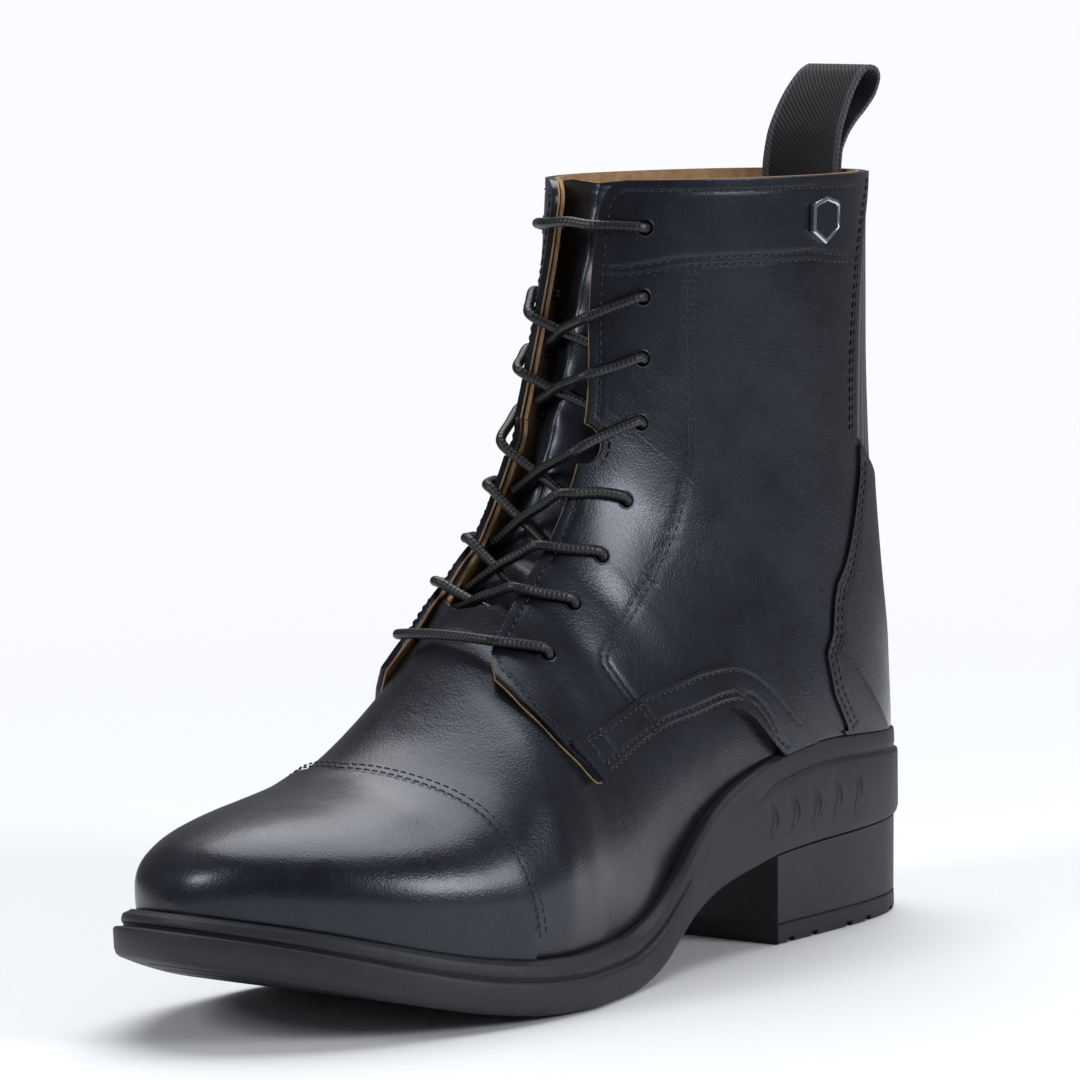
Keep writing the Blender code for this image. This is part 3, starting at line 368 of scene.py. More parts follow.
# %% The last's surface
def smooth(xs, ys, at):
    """Cubic curve through the points (xs, ys) that makes no false bumps."""
    width = np.diff(xs)
    rise = np.diff(ys) / width
    slope = np.zeros(len(xs))
    for i in range(1, len(xs) - 1):
        if rise[i - 1] * rise[i] > 0:
            near = 2 * width[i] + width[i - 1]
            far = width[i] + 2 * width[i - 1]
            slope[i] = (near + far) / (near / rise[i - 1] + far / rise[i])
    slope[0] = rise[0]
    slope[-1] = rise[-1]
    i = np.clip(np.searchsorted(xs, at) - 1, 0, len(xs) - 2)
    u = np.clip((at - xs[i]) / width[i], 0, 1)
    return (
        (2 * u**3 - 3 * u**2 + 1) * ys[i]
        + (u**3 - 2 * u**2 + u) * width[i] * slope[i]
        + (3 * u**2 - 2 * u**3) * ys[i + 1]
        + (u**3 - u**2) * width[i] * slope[i + 1]
    )


def read(rows, name, at):
    """A table's column at places between its rows."""
    return smooth(rows["at"], rows[name], at)


def y_of(along):
    """World Y of a distance forward from the back of the sole."""
    return HEEL_LENGTH / 2 + HEEL_INSET - along


def ground(along):
    """Height of the sole's underside."""
    share = along / LENGTH
    return HEEL_HEIGHT * read(SIDE, "arch", share) + TOE_SPRING * read(SIDE, "spring", share)


def rim(along):
    """Height of the sole's top edge."""
    return ground(along) + CUP_HEIGHT * read(SIDE, "rim", along / LENGTH)


def outline(count):
    """The sole's edge as (x, along) points, out along the outer side and back along the inner one."""
    turn = np.linspace(0, 1, count)
    share = (1 - np.cos(np.pi * turn)) / 2
    spread = np.arccos(1 - 2 * OUTLINE["at"]) / np.pi
    outer = np.stack([smooth(spread, OUTLINE["lateral"], turn) * BALL_WIDTH, share * LENGTH], 1)
    inner = np.stack([-smooth(spread, OUTLINE["medial"], turn) * BALL_WIDTH, share * LENGTH], 1)
    return np.concatenate([outer, inner[-2:0:-1]])


def inward(points):
    """Unit directions from a closed outline to its inside."""
    tangent = np.roll(points, -1, 0) - np.roll(points, 1, 0)
    tangent /= np.linalg.norm(tangent, axis=1)[:, None]
    return np.stack([-tangent[:, 1], tangent[:, 0]], 1)


FINE = outline(240)
FEATHER = FINE + inward(FINE) * (read(SIDE, "width", np.clip(FINE[:, 1] / LENGTH, 0, 1))[:, None] * MM + GAP)
TOE_TIP = FEATHER[:, 1].max()
HEEL_TIP = FEATHER[:, 1].min()


def surface(cut, around):
    """Points on the last: around runs from -1 on the inner side over the crest, 0, to 1 on the outer side."""
    cut, around = np.broadcast_arrays(np.clip(np.asarray(cut, float), 0, COLLAR), np.asarray(around, float))
    row = {name: read(LAST, name, cut) for name in LAST if name != "at"}
    low = np.minimum(row["low"] * LENGTH, TOE_TIP)
    high = np.minimum(row["high"] * LENGTH, TOE_TIP)
    low = low + np.where(cut >= TAIL, HEEL_TIP - LAST["low"][int(TAIL)] * LENGTH, 0)
    base = ground(low) + SOLE_THICKNESS + GAP
    outer = around >= 0
    side = np.where(outer, 1.0, -1.0)
    half = FEATHER[:240]
    other = FEATHER[240:][::-1]
    edge = np.where(outer, np.interp(low, half[:, 1], half[:, 0]), np.interp(low, other[:, 1], other[:, 0]))
    edge = np.where(cut < TAIL, edge, 0.0)
    own = side * np.where(outer, row["lateral"], row["medial"]) * BALL_WIDTH
    follow = edge + side * row["swell"] * BALL_WIDTH
    wide = follow + (own - follow) * row["free"]
    share = np.minimum(np.abs(around), 1)
    crest = row["ridge"] * BALL_WIDTH
    power = 2 / np.where(outer, row["outer"], row["inner"])
    over = np.minimum(share / SHOULDER, 1) * math.pi / 2
    under = np.maximum((share - SHOULDER) / (1 - SHOULDER), 0) * math.pi / 2
    square = 1 - BACK_SQUARE * row["free"]
    x = np.where(
        share <= SHOULDER,
        crest + (wide - crest) * np.sin(over) ** power,
        edge + (wide - edge) * np.maximum(np.cos(under), 0) ** square,
    )
    height = np.where(
        share <= SHOULDER,
        row["belly"] + (1 - row["belly"]) * np.maximum(np.cos(over), 0) ** power,
        row["belly"] * (1 - np.sin(under)),
    )
    foot = base + row["rise"] * SHAFT_RISE
    top = base + row["lift"] * SHAFT_RISE
    y = y_of(low) + (y_of(high) - y_of(low)) * height
    return np.stack([x, y, foot + (top - foot) * height], -1)


def normals(cut, around):
    """Outward directions of the last's surface."""
    cut, around = np.broadcast_arrays(np.asarray(cut, float), np.asarray(around, float))
    seam = (cut >= TAIL) & (np.abs(around) >= 1)
    around = np.where(seam, 1.0, around)
    step = 0.02
    side = np.where(around < 0, -1.0, 1.0)
    near = np.maximum(np.minimum(np.abs(around), 1 - step), 0)
    forth = surface(cut + 4 * step, around) - surface(cut - 4 * step, around)
    across = surface(cut, side * near + step) - surface(cut, side * near - step)
    out = np.cross(across, forth)
    out[..., 0] = np.where(seam, 0, out[..., 0])
    return out / np.maximum(np.linalg.norm(out, axis=-1), 1e-12)[..., None]


def skin(cut, around, raised=0.0):
    """Points on the last raised along its outward direction."""
    raised = np.asarray(raised, float)
    return surface(cut, around) + normals(cut, around) * raised[..., None]


print("collar height, mm:", round(float(surface(COLLAR, 0.0)[2] / MM, ), 1))

# %% [markdown]
# ## Making a leather panel
# A real panel is cut flat, skived at its edges and folded. Here it is a closed sheet on the last:
# a fine grid outside, the same grid inside, and a wall round the edge that a small bevel rounds as
# a folded or burnished edge. Where a row of stitches pulls the leather in, the grid is pressed down
# along it.

# %% Mesh helpers
def at_distance(line, far, place):
    """The line's point at a distance from its start, or its points at several."""
    return np.stack([np.interp(place, far, line[:, k]) for k in range(3)], -1)


def distance_along(line):
    """Each point's distance from the start of a line, measured along it."""
    return np.concatenate([[0], np.cumsum(np.linalg.norm(np.diff(line, axis=0), axis=1))])


def weld(points, faces):
    """Points and faces with equal points made one."""
    index = {}
    where = []
    kept = []
    keys = np.round(np.asarray(points) * 1e7).astype(np.int64)
    for i, key in enumerate(map(tuple, keys)):
        if key not in index:
            index[key] = len(kept)
            kept.append(i)
        where.append(index[key])
    out = []
    for face in faces:
        ring = []
        for i in face:
            if where[i] not in ring:
                ring.append(where[i])
        if len(ring) > 2:
            out.append(ring)
    return np.asarray(points)[kept], out, kept


def sharpen(mesh, angle):
    """Smooth shading, but with edges steeper than an angle in degrees kept sharp."""
    mesh.shade_smooth()
    mesh.set_sharp_from_angle(angle=math.radians(angle))


def make_object(name, points, faces, look, angle=35):
    """A smooth mesh object from points and faces, facing outward."""
    mesh = bpy.data.meshes.new(name)
    mesh.from_pydata([tuple(p) for p in points], [], faces)
    shape = bmesh.new()
    shape.from_mesh(mesh)
    bmesh.ops.recalc_face_normals(shape, faces=shape.faces)
    if shape.calc_volume(signed=True) < 0:
        bmesh.ops.reverse_faces(shape, faces=shape.faces)
    shape.to_mesh(mesh)
    shape.free()
    sharpen(mesh, angle)
    return link_mesh(name, mesh, look)


def shell(name, outer, inner, faces, look):
    """A closed wall between two sheets that share their faces."""
    outer, faces, kept = weld(outer, faces)
    inner = np.asarray(inner)[kept]
    count = len(outer)
    edges = set()
    for face in faces:
        edges.update(zip(face, face[1:] + face[:1]))
    walls = [(b, a, a + count, b + count) for a, b in edges if (b, a) not in edges]
    walls.sort()
    under = [[i + count for i in reversed(face)] for face in faces]
    return make_object(name, np.concatenate([outer, inner]), faces + under + walls, look)


def grid_faces(rows, columns, base=0, side=1):
    """Quads of a grid of points."""
    return [
        [base + i for i in (near, near + 1, near + columns + 1, near + columns)][::side]
        for near in (r * columns + c for r in range(rows - 1) for c in range(columns - 1))
    ]


def ring_faces(levels, size, base=0):
    """Quads between rings of points that lie one after another."""
    return [
        (base + k * size + i, base + k * size + j, base + (k + 1) * size + j, base + (k + 1) * size + i)
        for k in range(levels - 1) for i, j in ((i, (i + 1) % size) for i in range(size))
    ]


def prism(name, levels, look, angle=35):
    """A solid with flat ends, from rings of points."""
    size = len(levels[0])
    points = [p for ring in levels for p in ring]
    faces = ring_faces(len(levels), size)
    faces += [tuple(reversed(range(size))), tuple((len(levels) - 1) * size + i for i in range(size))]
    return make_object(name, points, faces, look, angle)


def apply_modifiers(piece):
    """Turns the piece's modifiers into its mesh."""
    graph = bpy.context.evaluated_depsgraph_get()
    mesh = bpy.data.meshes.new_from_object(piece.evaluated_get(graph))
    piece.modifiers.clear()
    piece.data = mesh


def round_edges(piece, width, segments=2):
    """Rounds the piece's sharp edges."""
    step = piece.modifiers.new("rounded", "BEVEL")
    step.width = width
    step.segments = segments
    step.limit_method = "ANGLE"
    step.angle_limit = math.radians(50)
    apply_modifiers(piece)


def cut_with(piece, tools, operation="DIFFERENCE"):
    """Cuts tools out of a piece, or joins them, for good."""
    for tool in tools:
        step = piece.modifiers.new(tool.name, "BOOLEAN")
        step.operation = operation
        step.solver = "EXACT"
        step.object = tool
    apply_modifiers(piece)


def drop(*tools):
    """Removes helper objects."""
    for tool in tools:
        bpy.data.objects.remove(tool, do_unlink=True)


def rows_spaced(low, high, step):
    """Cut numbers from low to high whose rows lie about one step apart on the leather."""
    fine = np.linspace(low, high, 600)
    apart = np.zeros(599)
    for around in (0.0, 0.3, 0.55, 1.0):
        line = surface(fine, around)
        apart = np.maximum(apart, np.linalg.norm(np.diff(line, axis=0), axis=1))
    run = np.concatenate([[0], np.cumsum(apart)])
    count = max(int(run[-1] / step), 2) + 1
    return np.interp(np.linspace(0, run[-1], count), run, fine)


# %% [markdown]
# A line on the leather is a list of points with the outward direction at each. It can be shifted
# sideways by a few millimetres, as a second needle of a twin-needle machine is.

# %% Lines on the leather
def leather_line(cuts, arounds, raised, shift=0.0, count=240):
    """A smooth line on the leather through places (cut, around), and its outward directions."""
    index = np.arange(len(cuts), dtype=float)
    at = np.linspace(0, len(cuts) - 1, count)
    cut = smooth(index, np.asarray(cuts, float), at)
    around = smooth(index, np.asarray(arounds, float), at)
    height = raised(cut, around) if callable(raised) else np.full(count, float(raised))
    points = skin(cut, around, height)
    out = normals(cut, around)
    run = np.gradient(points, axis=0)
    run /= np.maximum(np.linalg.norm(run, axis=1), 1e-9)[:, None]
    return points + np.cross(out, run) * shift, out


def press(points, out, lines, depth, width):
    """Points pressed in along lines, deepest on the line."""
    if not lines:
        return points
    places = np.concatenate([line for line, _ in lines])
    tree = kdtree.KDTree(len(places))
    for i, place in enumerate(places):
        tree.insert(place, i)
    tree.balance()
    away = np.array([tree.find(p)[2] for p in points])
    return points - out * (depth * np.exp(-((away / width) ** 2)))[:, None]


SEAM_DEPTH = 0.22 * MM
SEAM_WIDTH = 0.75 * MM


def panel(name, look, cuts, spans, low, high, columns, sides=(1, -1), lines=(), edge=0.4 * MM, bend=None):
    """A leather panel: at each cut it runs between two shares of the way round."""
    outer, inner, faces = [], [], []
    base = 0
    for side in sides:
        start, end = spans(cuts, side)
        share = start[:, None] + (end - start)[:, None] * np.linspace(0, 1, columns)[None, :]
        cut = np.repeat(cuts[:, None], columns, 1)
        if bend:
            cut = bend(cut, share)
        cut = cut.ravel()
        around = side * share.ravel()
        out = normals(cut, around)
        place = surface(cut, around)
        top = high(cut, around) if callable(high) else np.full(len(cut), high)
        bottom = low(cut, around) if callable(low) else np.full(len(cut), low)
        outer.append(press(place + out * top[:, None], out, lines, SEAM_DEPTH, SEAM_WIDTH))
        inner.append(place + out * bottom[:, None])
        faces += grid_faces(len(cuts), columns, base, side)
        base += len(cut)
    piece = shell(name, np.concatenate(outer), np.concatenate(inner), faces, look)
    if edge:
        round_edges(piece, edge)
    return piece


def finish_piece(piece, slot, *nodes):
    """The piece rides on the boot and stands for frame nodes; slot is not used."""
    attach(piece, "root")
    if nodes:
        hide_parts(*nodes)
    print(piece.name, "polygons:", len(piece.data.polygons))
    return piece


# %% [markdown]
# ## Leather
# Smooth full-grain calf, drum-dyed black and waxed. Its grain is about 0.5 mm, which is two pixels
# here, so it is drawn at 0.6 mm to show. A very slow unevenness lets highlights break up softly, as
# they do on leather that was pulled over a last. The wax is a thin coat.

# %% Waxed calf
def grained_leather(name, colour, lighter, roughness, grain_mm, grain_depth, coat):
    """Leather with cell-like grain, slow unevenness and a little variation of its gloss."""
    item, tree, shader = new_material(name, colour, roughness, IOR=1.5, Coat_Weight=coat, Coat_Roughness=0.22)
    shader.inputs["Specular Tint"].default_value = linear("#d0daf5")
    where = add_node(tree, "TexCoord").outputs["Object"]
    cells = add_node(
        tree, "TexVoronoi", {"Scale": 1 / (grain_mm * MM), "Randomness": 1.0}, {"Vector": where},
        feature="SMOOTH_F1",
    )
    slow = add_node(tree, "TexNoise", {"Scale": 55.0, "Detail": 3.0}, {"Vector": where})
    mid = add_node(tree, "TexNoise", {"Scale": 260.0, "Detail": 4.0}, {"Vector": where})
    ramp = add_node(tree, "ValToRGB", None, {"Fac": mid.outputs["Fac"]})
    ramp.color_ramp.elements[0].position = 0.35
    ramp.color_ramp.elements[0].color = linear(colour)
    ramp.color_ramp.elements[1].position = 0.75
    ramp.color_ramp.elements[1].color = linear(lighter)
    tree.links.new(ramp.outputs["Color"], shader.inputs["Base Color"])
    gloss = add_node(
        tree, "MapRange",
        {"From Min": 0.3, "From Max": 0.7, "To Min": roughness - 0.06, "To Max": roughness + 0.07},
        {"Value": slow.outputs["Fac"]},
    )
    tree.links.new(gloss.outputs["Result"], shader.inputs["Roughness"])
    broad = add_node(
        tree, "Bump", {"Distance": 0.35 * MM}, {"Height": slow.outputs["Fac"]}
    )
    middle = add_node(
        tree, "Bump", {"Distance": 0.05 * MM},
        {"Height": mid.outputs["Fac"], "Normal": broad.outputs["Normal"]},
    )
    fine = add_node(
        tree, "Bump", {"Distance": grain_depth * MM},
        {"Height": cells.outputs["Distance"], "Normal": middle.outputs["Normal"]},
    )
    tree.links.new(fine.outputs["Normal"], shader.inputs["Normal"])
    return item


LEATHER = grained_leather("waxed_calf", "#0a0b0f", "#14161c", 0.33, 0.6, 0.07, 0.35)
SUEDE = grained_leather("tan_suede_lining", "#a88560", "#c4a079", 0.9, 0.7, 0.12, 0.0)

# %% [markdown]
# ## Rubber, metal and textiles
# The sole is moulded rubber with a fine spark-eroded grain, matt and slightly grey with handling.
# The thread and the lace are waxed, so both carry small highlights. On the lace, a lighter colour on
# the braid's crowns is also a painted highlight. The elastic and the loop's webbing are woven: their
# ribs come from a wave over the piece's own coordinates.

# %% Other finishes
def moulded_rubber(name, colour, lighter, roughness):
    """Rubber with the fine grain of its mould."""
    item, tree, shader = new_material(name, colour, roughness, IOR=1.52)
    where = add_node(tree, "TexCoord").outputs["Object"]
    grit = add_node(tree, "TexNoise", {"Scale": 1400.0, "Detail": 3.0}, {"Vector": where})
    slow = add_node(tree, "TexNoise", {"Scale": 90.0, "Detail": 5.0}, {"Vector": where})
    ramp = add_node(tree, "ValToRGB", None, {"Fac": slow.outputs["Fac"]})
    ramp.color_ramp.elements[0].position = 0.3
    ramp.color_ramp.elements[0].color = linear(colour)
    ramp.color_ramp.elements[1].position = 0.8
    ramp.color_ramp.elements[1].color = linear(lighter)
    tree.links.new(ramp.outputs["Color"], shader.inputs["Base Color"])
    bump = add_node(tree, "Bump", {"Distance": 0.12 * MM}, {"Height": grit.outputs["Fac"]})
    broad = add_node(
        tree, "Bump", {"Distance": 0.1 * MM},
        {"Height": slow.outputs["Fac"], "Normal": bump.outputs["Normal"]},
    )
    tree.links.new(broad.outputs["Normal"], shader.inputs["Normal"])
    return item


def ripple(tree, along, aside):
    """A sine over the UV map, at two rates in radians for each of its units."""
    where = add_node(tree, "UVMap").outputs["UV"]
    slope = add_node(tree, "VectorMath", {1: (along, aside, 0)}, {0: where}, operation="DOT_PRODUCT")
    return add_node(tree, "Math", None, {0: slope.outputs["Value"]}, operation="SINE")


def woven(name, colour, lighter, across_mm, slant, roughness, depth):
    """Cloth whose ribs follow the piece's UV map, which is in metres."""
    item, tree, shader = new_material(name, colour, roughness, Sheen_Weight=0.15)
    turns = math.tau / (across_mm * MM)
    wave = ripple(tree, turns, slant * turns)
    height = add_node(tree, "MapRange", {"From Min": -1.0, "From Max": 1.0}, {"Value": wave.outputs[0]})
    ramp = add_node(tree, "ValToRGB", None, {"Fac": height.outputs["Result"]})
    ramp.color_ramp.elements[0].color = linear(colour)
    ramp.color_ramp.elements[1].color = linear(lighter)
    tree.links.new(ramp.outputs["Color"], shader.inputs["Base Color"])
    bump = add_node(tree, "Bump", {"Distance": depth * MM}, {"Height": height.outputs["Result"]})
    tree.links.new(bump.outputs["Normal"], shader.inputs["Normal"])
    return item


def braided(name, colour, painted_glint, roughness):
    """Round braid: two crossing spirals of yarn, with a painted highlight, a lighter colour, on the crown of
    each crossing.
    """
    item, tree, shader = new_material(name, colour, roughness, Coat_Weight=0.15, Coat_Roughness=0.35)
    waves = [ripple(tree, math.tau / (2.8 * MM), math.tau * 3 * way) for way in (1, -1)]
    cross = add_node(
        tree, "Math", None, {0: waves[0].outputs[0], 1: waves[1].outputs[0]}, operation="MULTIPLY"
    )
    height = add_node(tree, "MapRange", {"From Min": -1.0, "From Max": 1.0}, {"Value": cross.outputs[0]})
    ramp = add_node(tree, "ValToRGB", None, {"Fac": height.outputs["Result"]})
    ramp.color_ramp.elements[0].position = 0.72
    ramp.color_ramp.elements[0].color = linear(colour)
    # the ramp's second colour is a painted highlight on the braid's crowns
    ramp.color_ramp.elements[1].position = 1.0
    ramp.color_ramp.elements[1].color = linear(painted_glint)
    tree.links.new(ramp.outputs["Color"], shader.inputs["Base Color"])
    bump = add_node(tree, "Bump", {"Distance": 0.15 * MM}, {"Height": height.outputs["Result"]})
    tree.links.new(bump.outputs["Normal"], shader.inputs["Normal"])
    return item


RUBBER = moulded_rubber("moulded_rubber", "#111319", "#1c1f27", 0.54)
LIFT_RUBBER = moulded_rubber("lift_rubber", "#121419", "#1b1e25", 0.62)
WEBBING = woven("twill_webbing", "#07080b", "#15171d", 1.6, 1.0, 0.7, 0.25)
STRIPE = woven("webbing_stripe", "#3d3a44", "#59555f", 1.6, 1.0, 0.75, 0.25)
ELASTIC = woven("ribbed_elastic", "#17161b", "#34323b", 1.5, 0.0, 0.72, 0.3)
# the lace's second colour is a painted highlight on the crowns of its braid
CORD = braided("waxed_braid", "#090a0e", "#30333b", 0.42)
THREAD, tree, shader = new_material("waxed_thread", "#08090c", 0.42, Coat_Weight=0.2, Coat_Roughness=0.3)
where = add_node(tree, "TexCoord").outputs["Object"]
strands = add_node(tree, "TexNoise", {"Scale": 2500.0}, {"Vector": where})
twist = add_node(tree, "Bump", {"Distance": 0.08 * MM}, {"Height": strands.outputs["Fac"]})
tree.links.new(twist.outputs["Normal"], shader.inputs["Normal"])
CHROME, tree, shader = new_material("polished_nickel", "#c9ccd1", 0.14, Metallic=1.0)
where = add_node(tree, "TexCoord").outputs["Object"]
wear = add_node(tree, "TexNoise", {"Scale": 500.0, "Detail": 4.0}, {"Vector": where})
polish = add_node(tree, "MapRange", {"To Min": 0.08, "To Max": 0.24}, {"Value": wear.outputs["Fac"]})
tree.links.new(polish.outputs["Result"], shader.inputs["Roughness"])
ENAMEL, tree, shader = new_material("navy_enamel", "#0b1220", 0.12, Coat_Weight=0.6, Coat_Roughness=0.05)
where = add_node(tree, "TexCoord").outputs["Object"]
depth = add_node(tree, "TexNoise", {"Scale": 180.0}, {"Vector": where})
flow = add_node(tree, "Bump", {"Distance": 0.05 * MM}, {"Height": depth.outputs["Fac"]})
tree.links.new(flow.outputs["Normal"], shader.inputs["Normal"])

# %% [markdown]
# ## Where the panels end
# The quarter's facing edge, its curved lower edge, the strap, the counter and the toe cap each
# follow one row of the tables. Low down every panel runs into the sole's cup, and `rim_share`
# finds by halving where that happens.

# %% Panel edges
CORNER_RADIUS = 8 * MM
SHARE_LENGTH = 140 * MM


def rim_share(cut, side, raised):
    """How far round each cut the skin, raised so far, meets the sole's rim."""
    low = np.zeros(len(cut))
    high = np.ones(len(cut))
    for _ in range(18):
        middle = (low + high) / 2
        place = skin(cut, side * middle, np.full(len(cut), raised))
        above = place[:, 2] > rim(y_of(place[:, 1])) - 0.8 * MM
        low = np.where(above, middle, low)
        high = np.where(above, high, middle)
    return low


def facing_edge(cut):
    """Share of the way round at which the facing ends."""
    return read(FACING, "edge", cut)


def stand(cut, around):
    """How far the facings' front edge lifts off the vamp low down."""
    low = 1 - np.clip((cut - 9.6) / 3.5, 0, 1)
    near = 1 - np.clip((np.abs(around) - facing_edge(cut)) / 0.16, 0, 1)
    return STAND_OFF * low * near * near


def quarter_end(cut, side):
    """Share of the way round at which the quarter ends, low down or at the back."""
    meet = rim_share(cut, side, 2 * GAP + QUARTER_THICKNESS + STRAP_THICKNESS)
    tuck = np.where(cut < COUNTER_TOP, 0.012, -0.002)
    tucked = np.minimum(read(COUNTER_EDGE, "edge", cut) + tuck, meet)
    back = np.where(cut < COUNTER_EDGE["at"][0], meet, tucked)
    return np.where(cut < QUARTER_EDGE["at"][-1], np.minimum(read(QUARTER_EDGE, "edge", cut), meet), back)


def corner(cut):
    """Extra share that rounds off the facings' top corner."""
    under = np.interp(cut, [22, 23, 24, COLLAR], [18.4, 9.0, 3.3, 0.0]) * MM
    left = np.clip(1 - under / CORNER_RADIUS, 0, 1)
    return CORNER_RADIUS * (1 - np.sqrt(1 - left**2)) / SHARE_LENGTH


def opening(cut):
    """Half width of the throat, as a share of the way round."""
    full = facing_edge(cut) + 0.012 + corner(cut)
    return np.where(cut <= THROAT, 0.0, full * np.minimum(1.0, np.sqrt(np.maximum(cut - THROAT, 0) / 0.9)))


EYELET_CUTS = []
fine_cuts = np.arange(COLLAR, 9.0, -0.02)
run = surface(fine_cuts, read(EYELET_LINE, "edge", fine_cuts))
run = distance_along(run)
for goal in np.cumsum(EYELET_STEPS) * MM:
    EYELET_CUTS.append(float(fine_cuts[np.searchsorted(run, goal)]))
NOTCH_CUT = EYELET_CUTS[4] + 0.28 * (EYELET_CUTS[3] - EYELET_CUTS[4])
print("eyelet cuts:", [round(c, 2) for c in EYELET_CUTS])

# %% [markdown]
# ## Rows of stitches
# Almost every seam is a twin-needle row, 2.2 mm apart, with about nine stitches to the inch. The
# rows are laid out first, because the panels are pressed in along them. The strap has one row
# inside its upper edge, two along its folded lower edge and a small box at its front.

# %% Seam lines
QUARTER_TOP = GAP + QUARTER_THICKNESS
STRAP_TOP = 2 * GAP + QUARTER_THICKNESS + STRAP_THICKNESS - 0.2 * MM
TWIN = 2.2 * MM
EYESTAY = [
    (22.43, .321), (19.06, .325), (17.37, .316), (15.60, .320), (14.10, .329), (12.82, .336),
    (12.19, .340), (11.96, .360), (12.02, .416), (12.21, .490),
]
STRAP_FOLD = [
    (10.45, .475), (11.30, .486), (12.19, .506), (13.02, .522), (13.75, .536), (14.22, .547),
    (14.46, .568), (14.49, .600), (14.42, .651), (14.49, .690),
]
STRAP_BOX = [(10.22, .395), (10.72, .404), (10.86, .452), (10.40, .452), (10.22, .395)]
TOP_BAND = [(21.45, .117), (21.6, .17), (22.48, .325), (23.13, .530), (23.50, .735)]


def seam(places, side, raised, shift, twin=0.0):
    """One row of stitches through places, or two."""
    cuts = [p[0] for p in places]
    arounds = [side * p[1] for p in places]
    rows = [leather_line(cuts, arounds, raised, side * shift)]
    if twin:
        rows.append(leather_line(cuts, arounds, raised, side * (shift + twin)))
    return rows


def edge_places(rows, low, high, count=24):
    """Places along a table's edge between two cuts."""
    cuts = np.linspace(low, high, count)
    return list(zip(cuts, read(rows, "edge", cuts)))


def on_quarter(cut, around):
    """Height of the quarter's outer face."""
    return QUARTER_TOP + stand(cut, around)


def on_strap(cut, around):
    """Height of the strap's outer face."""
    return STRAP_TOP + stand(cut, around)


QUARTER_SEAMS = {}
STRAP_SEAMS = {}
for side in (1, -1):
    rows = []
    front = [(cut, share + float(corner(cut))) for cut, share in edge_places(FACING, 17.45, 24.98, 40)]
    front += [(24.98, share) for share in np.linspace(front[-1][1] + 0.02, 0.80, 24)]
    rows += seam(front, side, on_quarter, -3.2 * MM)
    rows += seam(edge_places(FACING, 9.9, 15.05), side, on_quarter, -3 * MM)
    rows += seam(EYESTAY, side, on_quarter, 0, TWIN)
    rows += seam(TOP_BAND, side, on_quarter, 0, TWIN)
    rows += seam(edge_places(COUNTER_EDGE, 21.95, 24.7), side, on_quarter, 3.6 * MM, TWIN)
    rows += seam([(9.62, .172), (9.44, .20), (9.42, .25), (9.60, .356), (9.92, .405)], side, on_quarter, 0)
    QUARTER_SEAMS[side] = rows
    rows = seam(edge_places(STRAP_EDGE, 10.15, 15.22, 40), side, on_strap, -1.9 * MM)
    rows += seam(STRAP_FOLD, side, on_strap, 1.7 * MM, TWIN)
    rows += seam([(12.08, .440), (12.14, .465), (12.20, .495)], side, on_strap, 0, TWIN)
    for start, end in zip(STRAP_BOX, STRAP_BOX[1:]):
        rows += seam([start, end], side, on_strap, 0)
    STRAP_SEAMS[side] = rows
CAP_SEAMS = []
for side in (1, -1):
    shares = np.linspace(0.0, 0.74, 30)
    places = list(zip(read(CAP_SEAM, "cut", shares), shares))
    CAP_SEAMS += seam(places, side, GAP + CAP_THICKNESS, 1.8 * MM, TWIN)
COUNTER_RAISED = 2 * GAP + COUNTER_THICKNESS
COUNTER_SEAMS = []
for side in (1, -1):
    COUNTER_SEAMS += seam(edge_places(COUNTER_EDGE, 16.1, 21.6, 40), side, COUNTER_RAISED, -2.2 * MM, -TWIN)
print("seam rows:", sum(len(v) for v in QUARTER_SEAMS.values()) + len(CAP_SEAMS) + len(COUNTER_SEAMS))


def sew(name, lines, pitch=2.8 * MM, length=2.15 * MM, radius=0.29 * MM):
    """Small waxed stitches along lines, each a spindle half sunk in the leather."""
    points, faces = [], []
    base = 0
    shape = [(-0.5, 0.0), (-0.36, 0.8), (0.0, 1.0), (0.36, 0.8), (0.5, 0.0)]
    turns = np.arange(6) * math.tau / 6
    for line, out in lines:
        far = distance_along(line)
        for middle in np.arange(pitch / 2, far[-1], pitch):
            here = at_distance(line, far, middle)
            along = at_distance(line, far, middle + 0.4 * MM) - at_distance(line, far, middle - 0.4 * MM)
            along /= max(np.linalg.norm(along), 1e-9)
            up = at_distance(out, far, middle)
            up -= along * up.dot(along)
            up /= np.linalg.norm(up)
            across = np.cross(along, up)
            centre = here - up * 0.08 * MM
            for share, wide in shape:
                dip = 0.22 * MM * (2 * share) ** 2
                if wide == 0:
                    points.append(centre + along * share * length - up * dip)
                else:
                    for turn in turns:
                        points.append(
                            centre + along * share * length - up * dip
                            + radius * wide * (math.cos(turn) * across + math.sin(turn) * up)
                        )
            first, last = base, base + 19
            rings = [[base + 1 + 6 * k + j for j in range(6)] for k in range(3)]
            for j in range(6):
                n = (j + 1) % 6
                faces.append((first, rings[0][n], rings[0][j]))
                faces.append((last, rings[2][j], rings[2][n]))
                for k in range(2):
                    faces.append((rings[k][j], rings[k][n], rings[k + 1][n], rings[k + 1][j]))
            base += 20
    mesh = bpy.data.meshes.new(name)
    mesh.from_pydata([tuple(p) for p in points], [], faces)
    mesh.shade_smooth()
    return finish_piece(link_mesh(name, mesh, THREAD), "black_leather")


# %% [markdown]
# ## Vamp and lining
# The vamp is the leather that is lasted first, and everything else is sewn over it. Under it lies
# the suede lining, which shows as a pale edge beside the facings and inside the collar. Both are
# their own sheets here, so that the leather can be black and the lining tan.

# %% Vamp and lining
UPPER_ROWS = np.concatenate([[0.03, 0.12, 0.25], rows_spaced(0.4, COLLAR, 2.1 * MM)])
CREASES = [([8.9, 8.75, 8.7, 8.8], [0.16, 0.28, 0.40, 0.47])]
creases = [leather_line(cuts, arounds, 0.0, 0, 60) for cuts, arounds in CREASES]


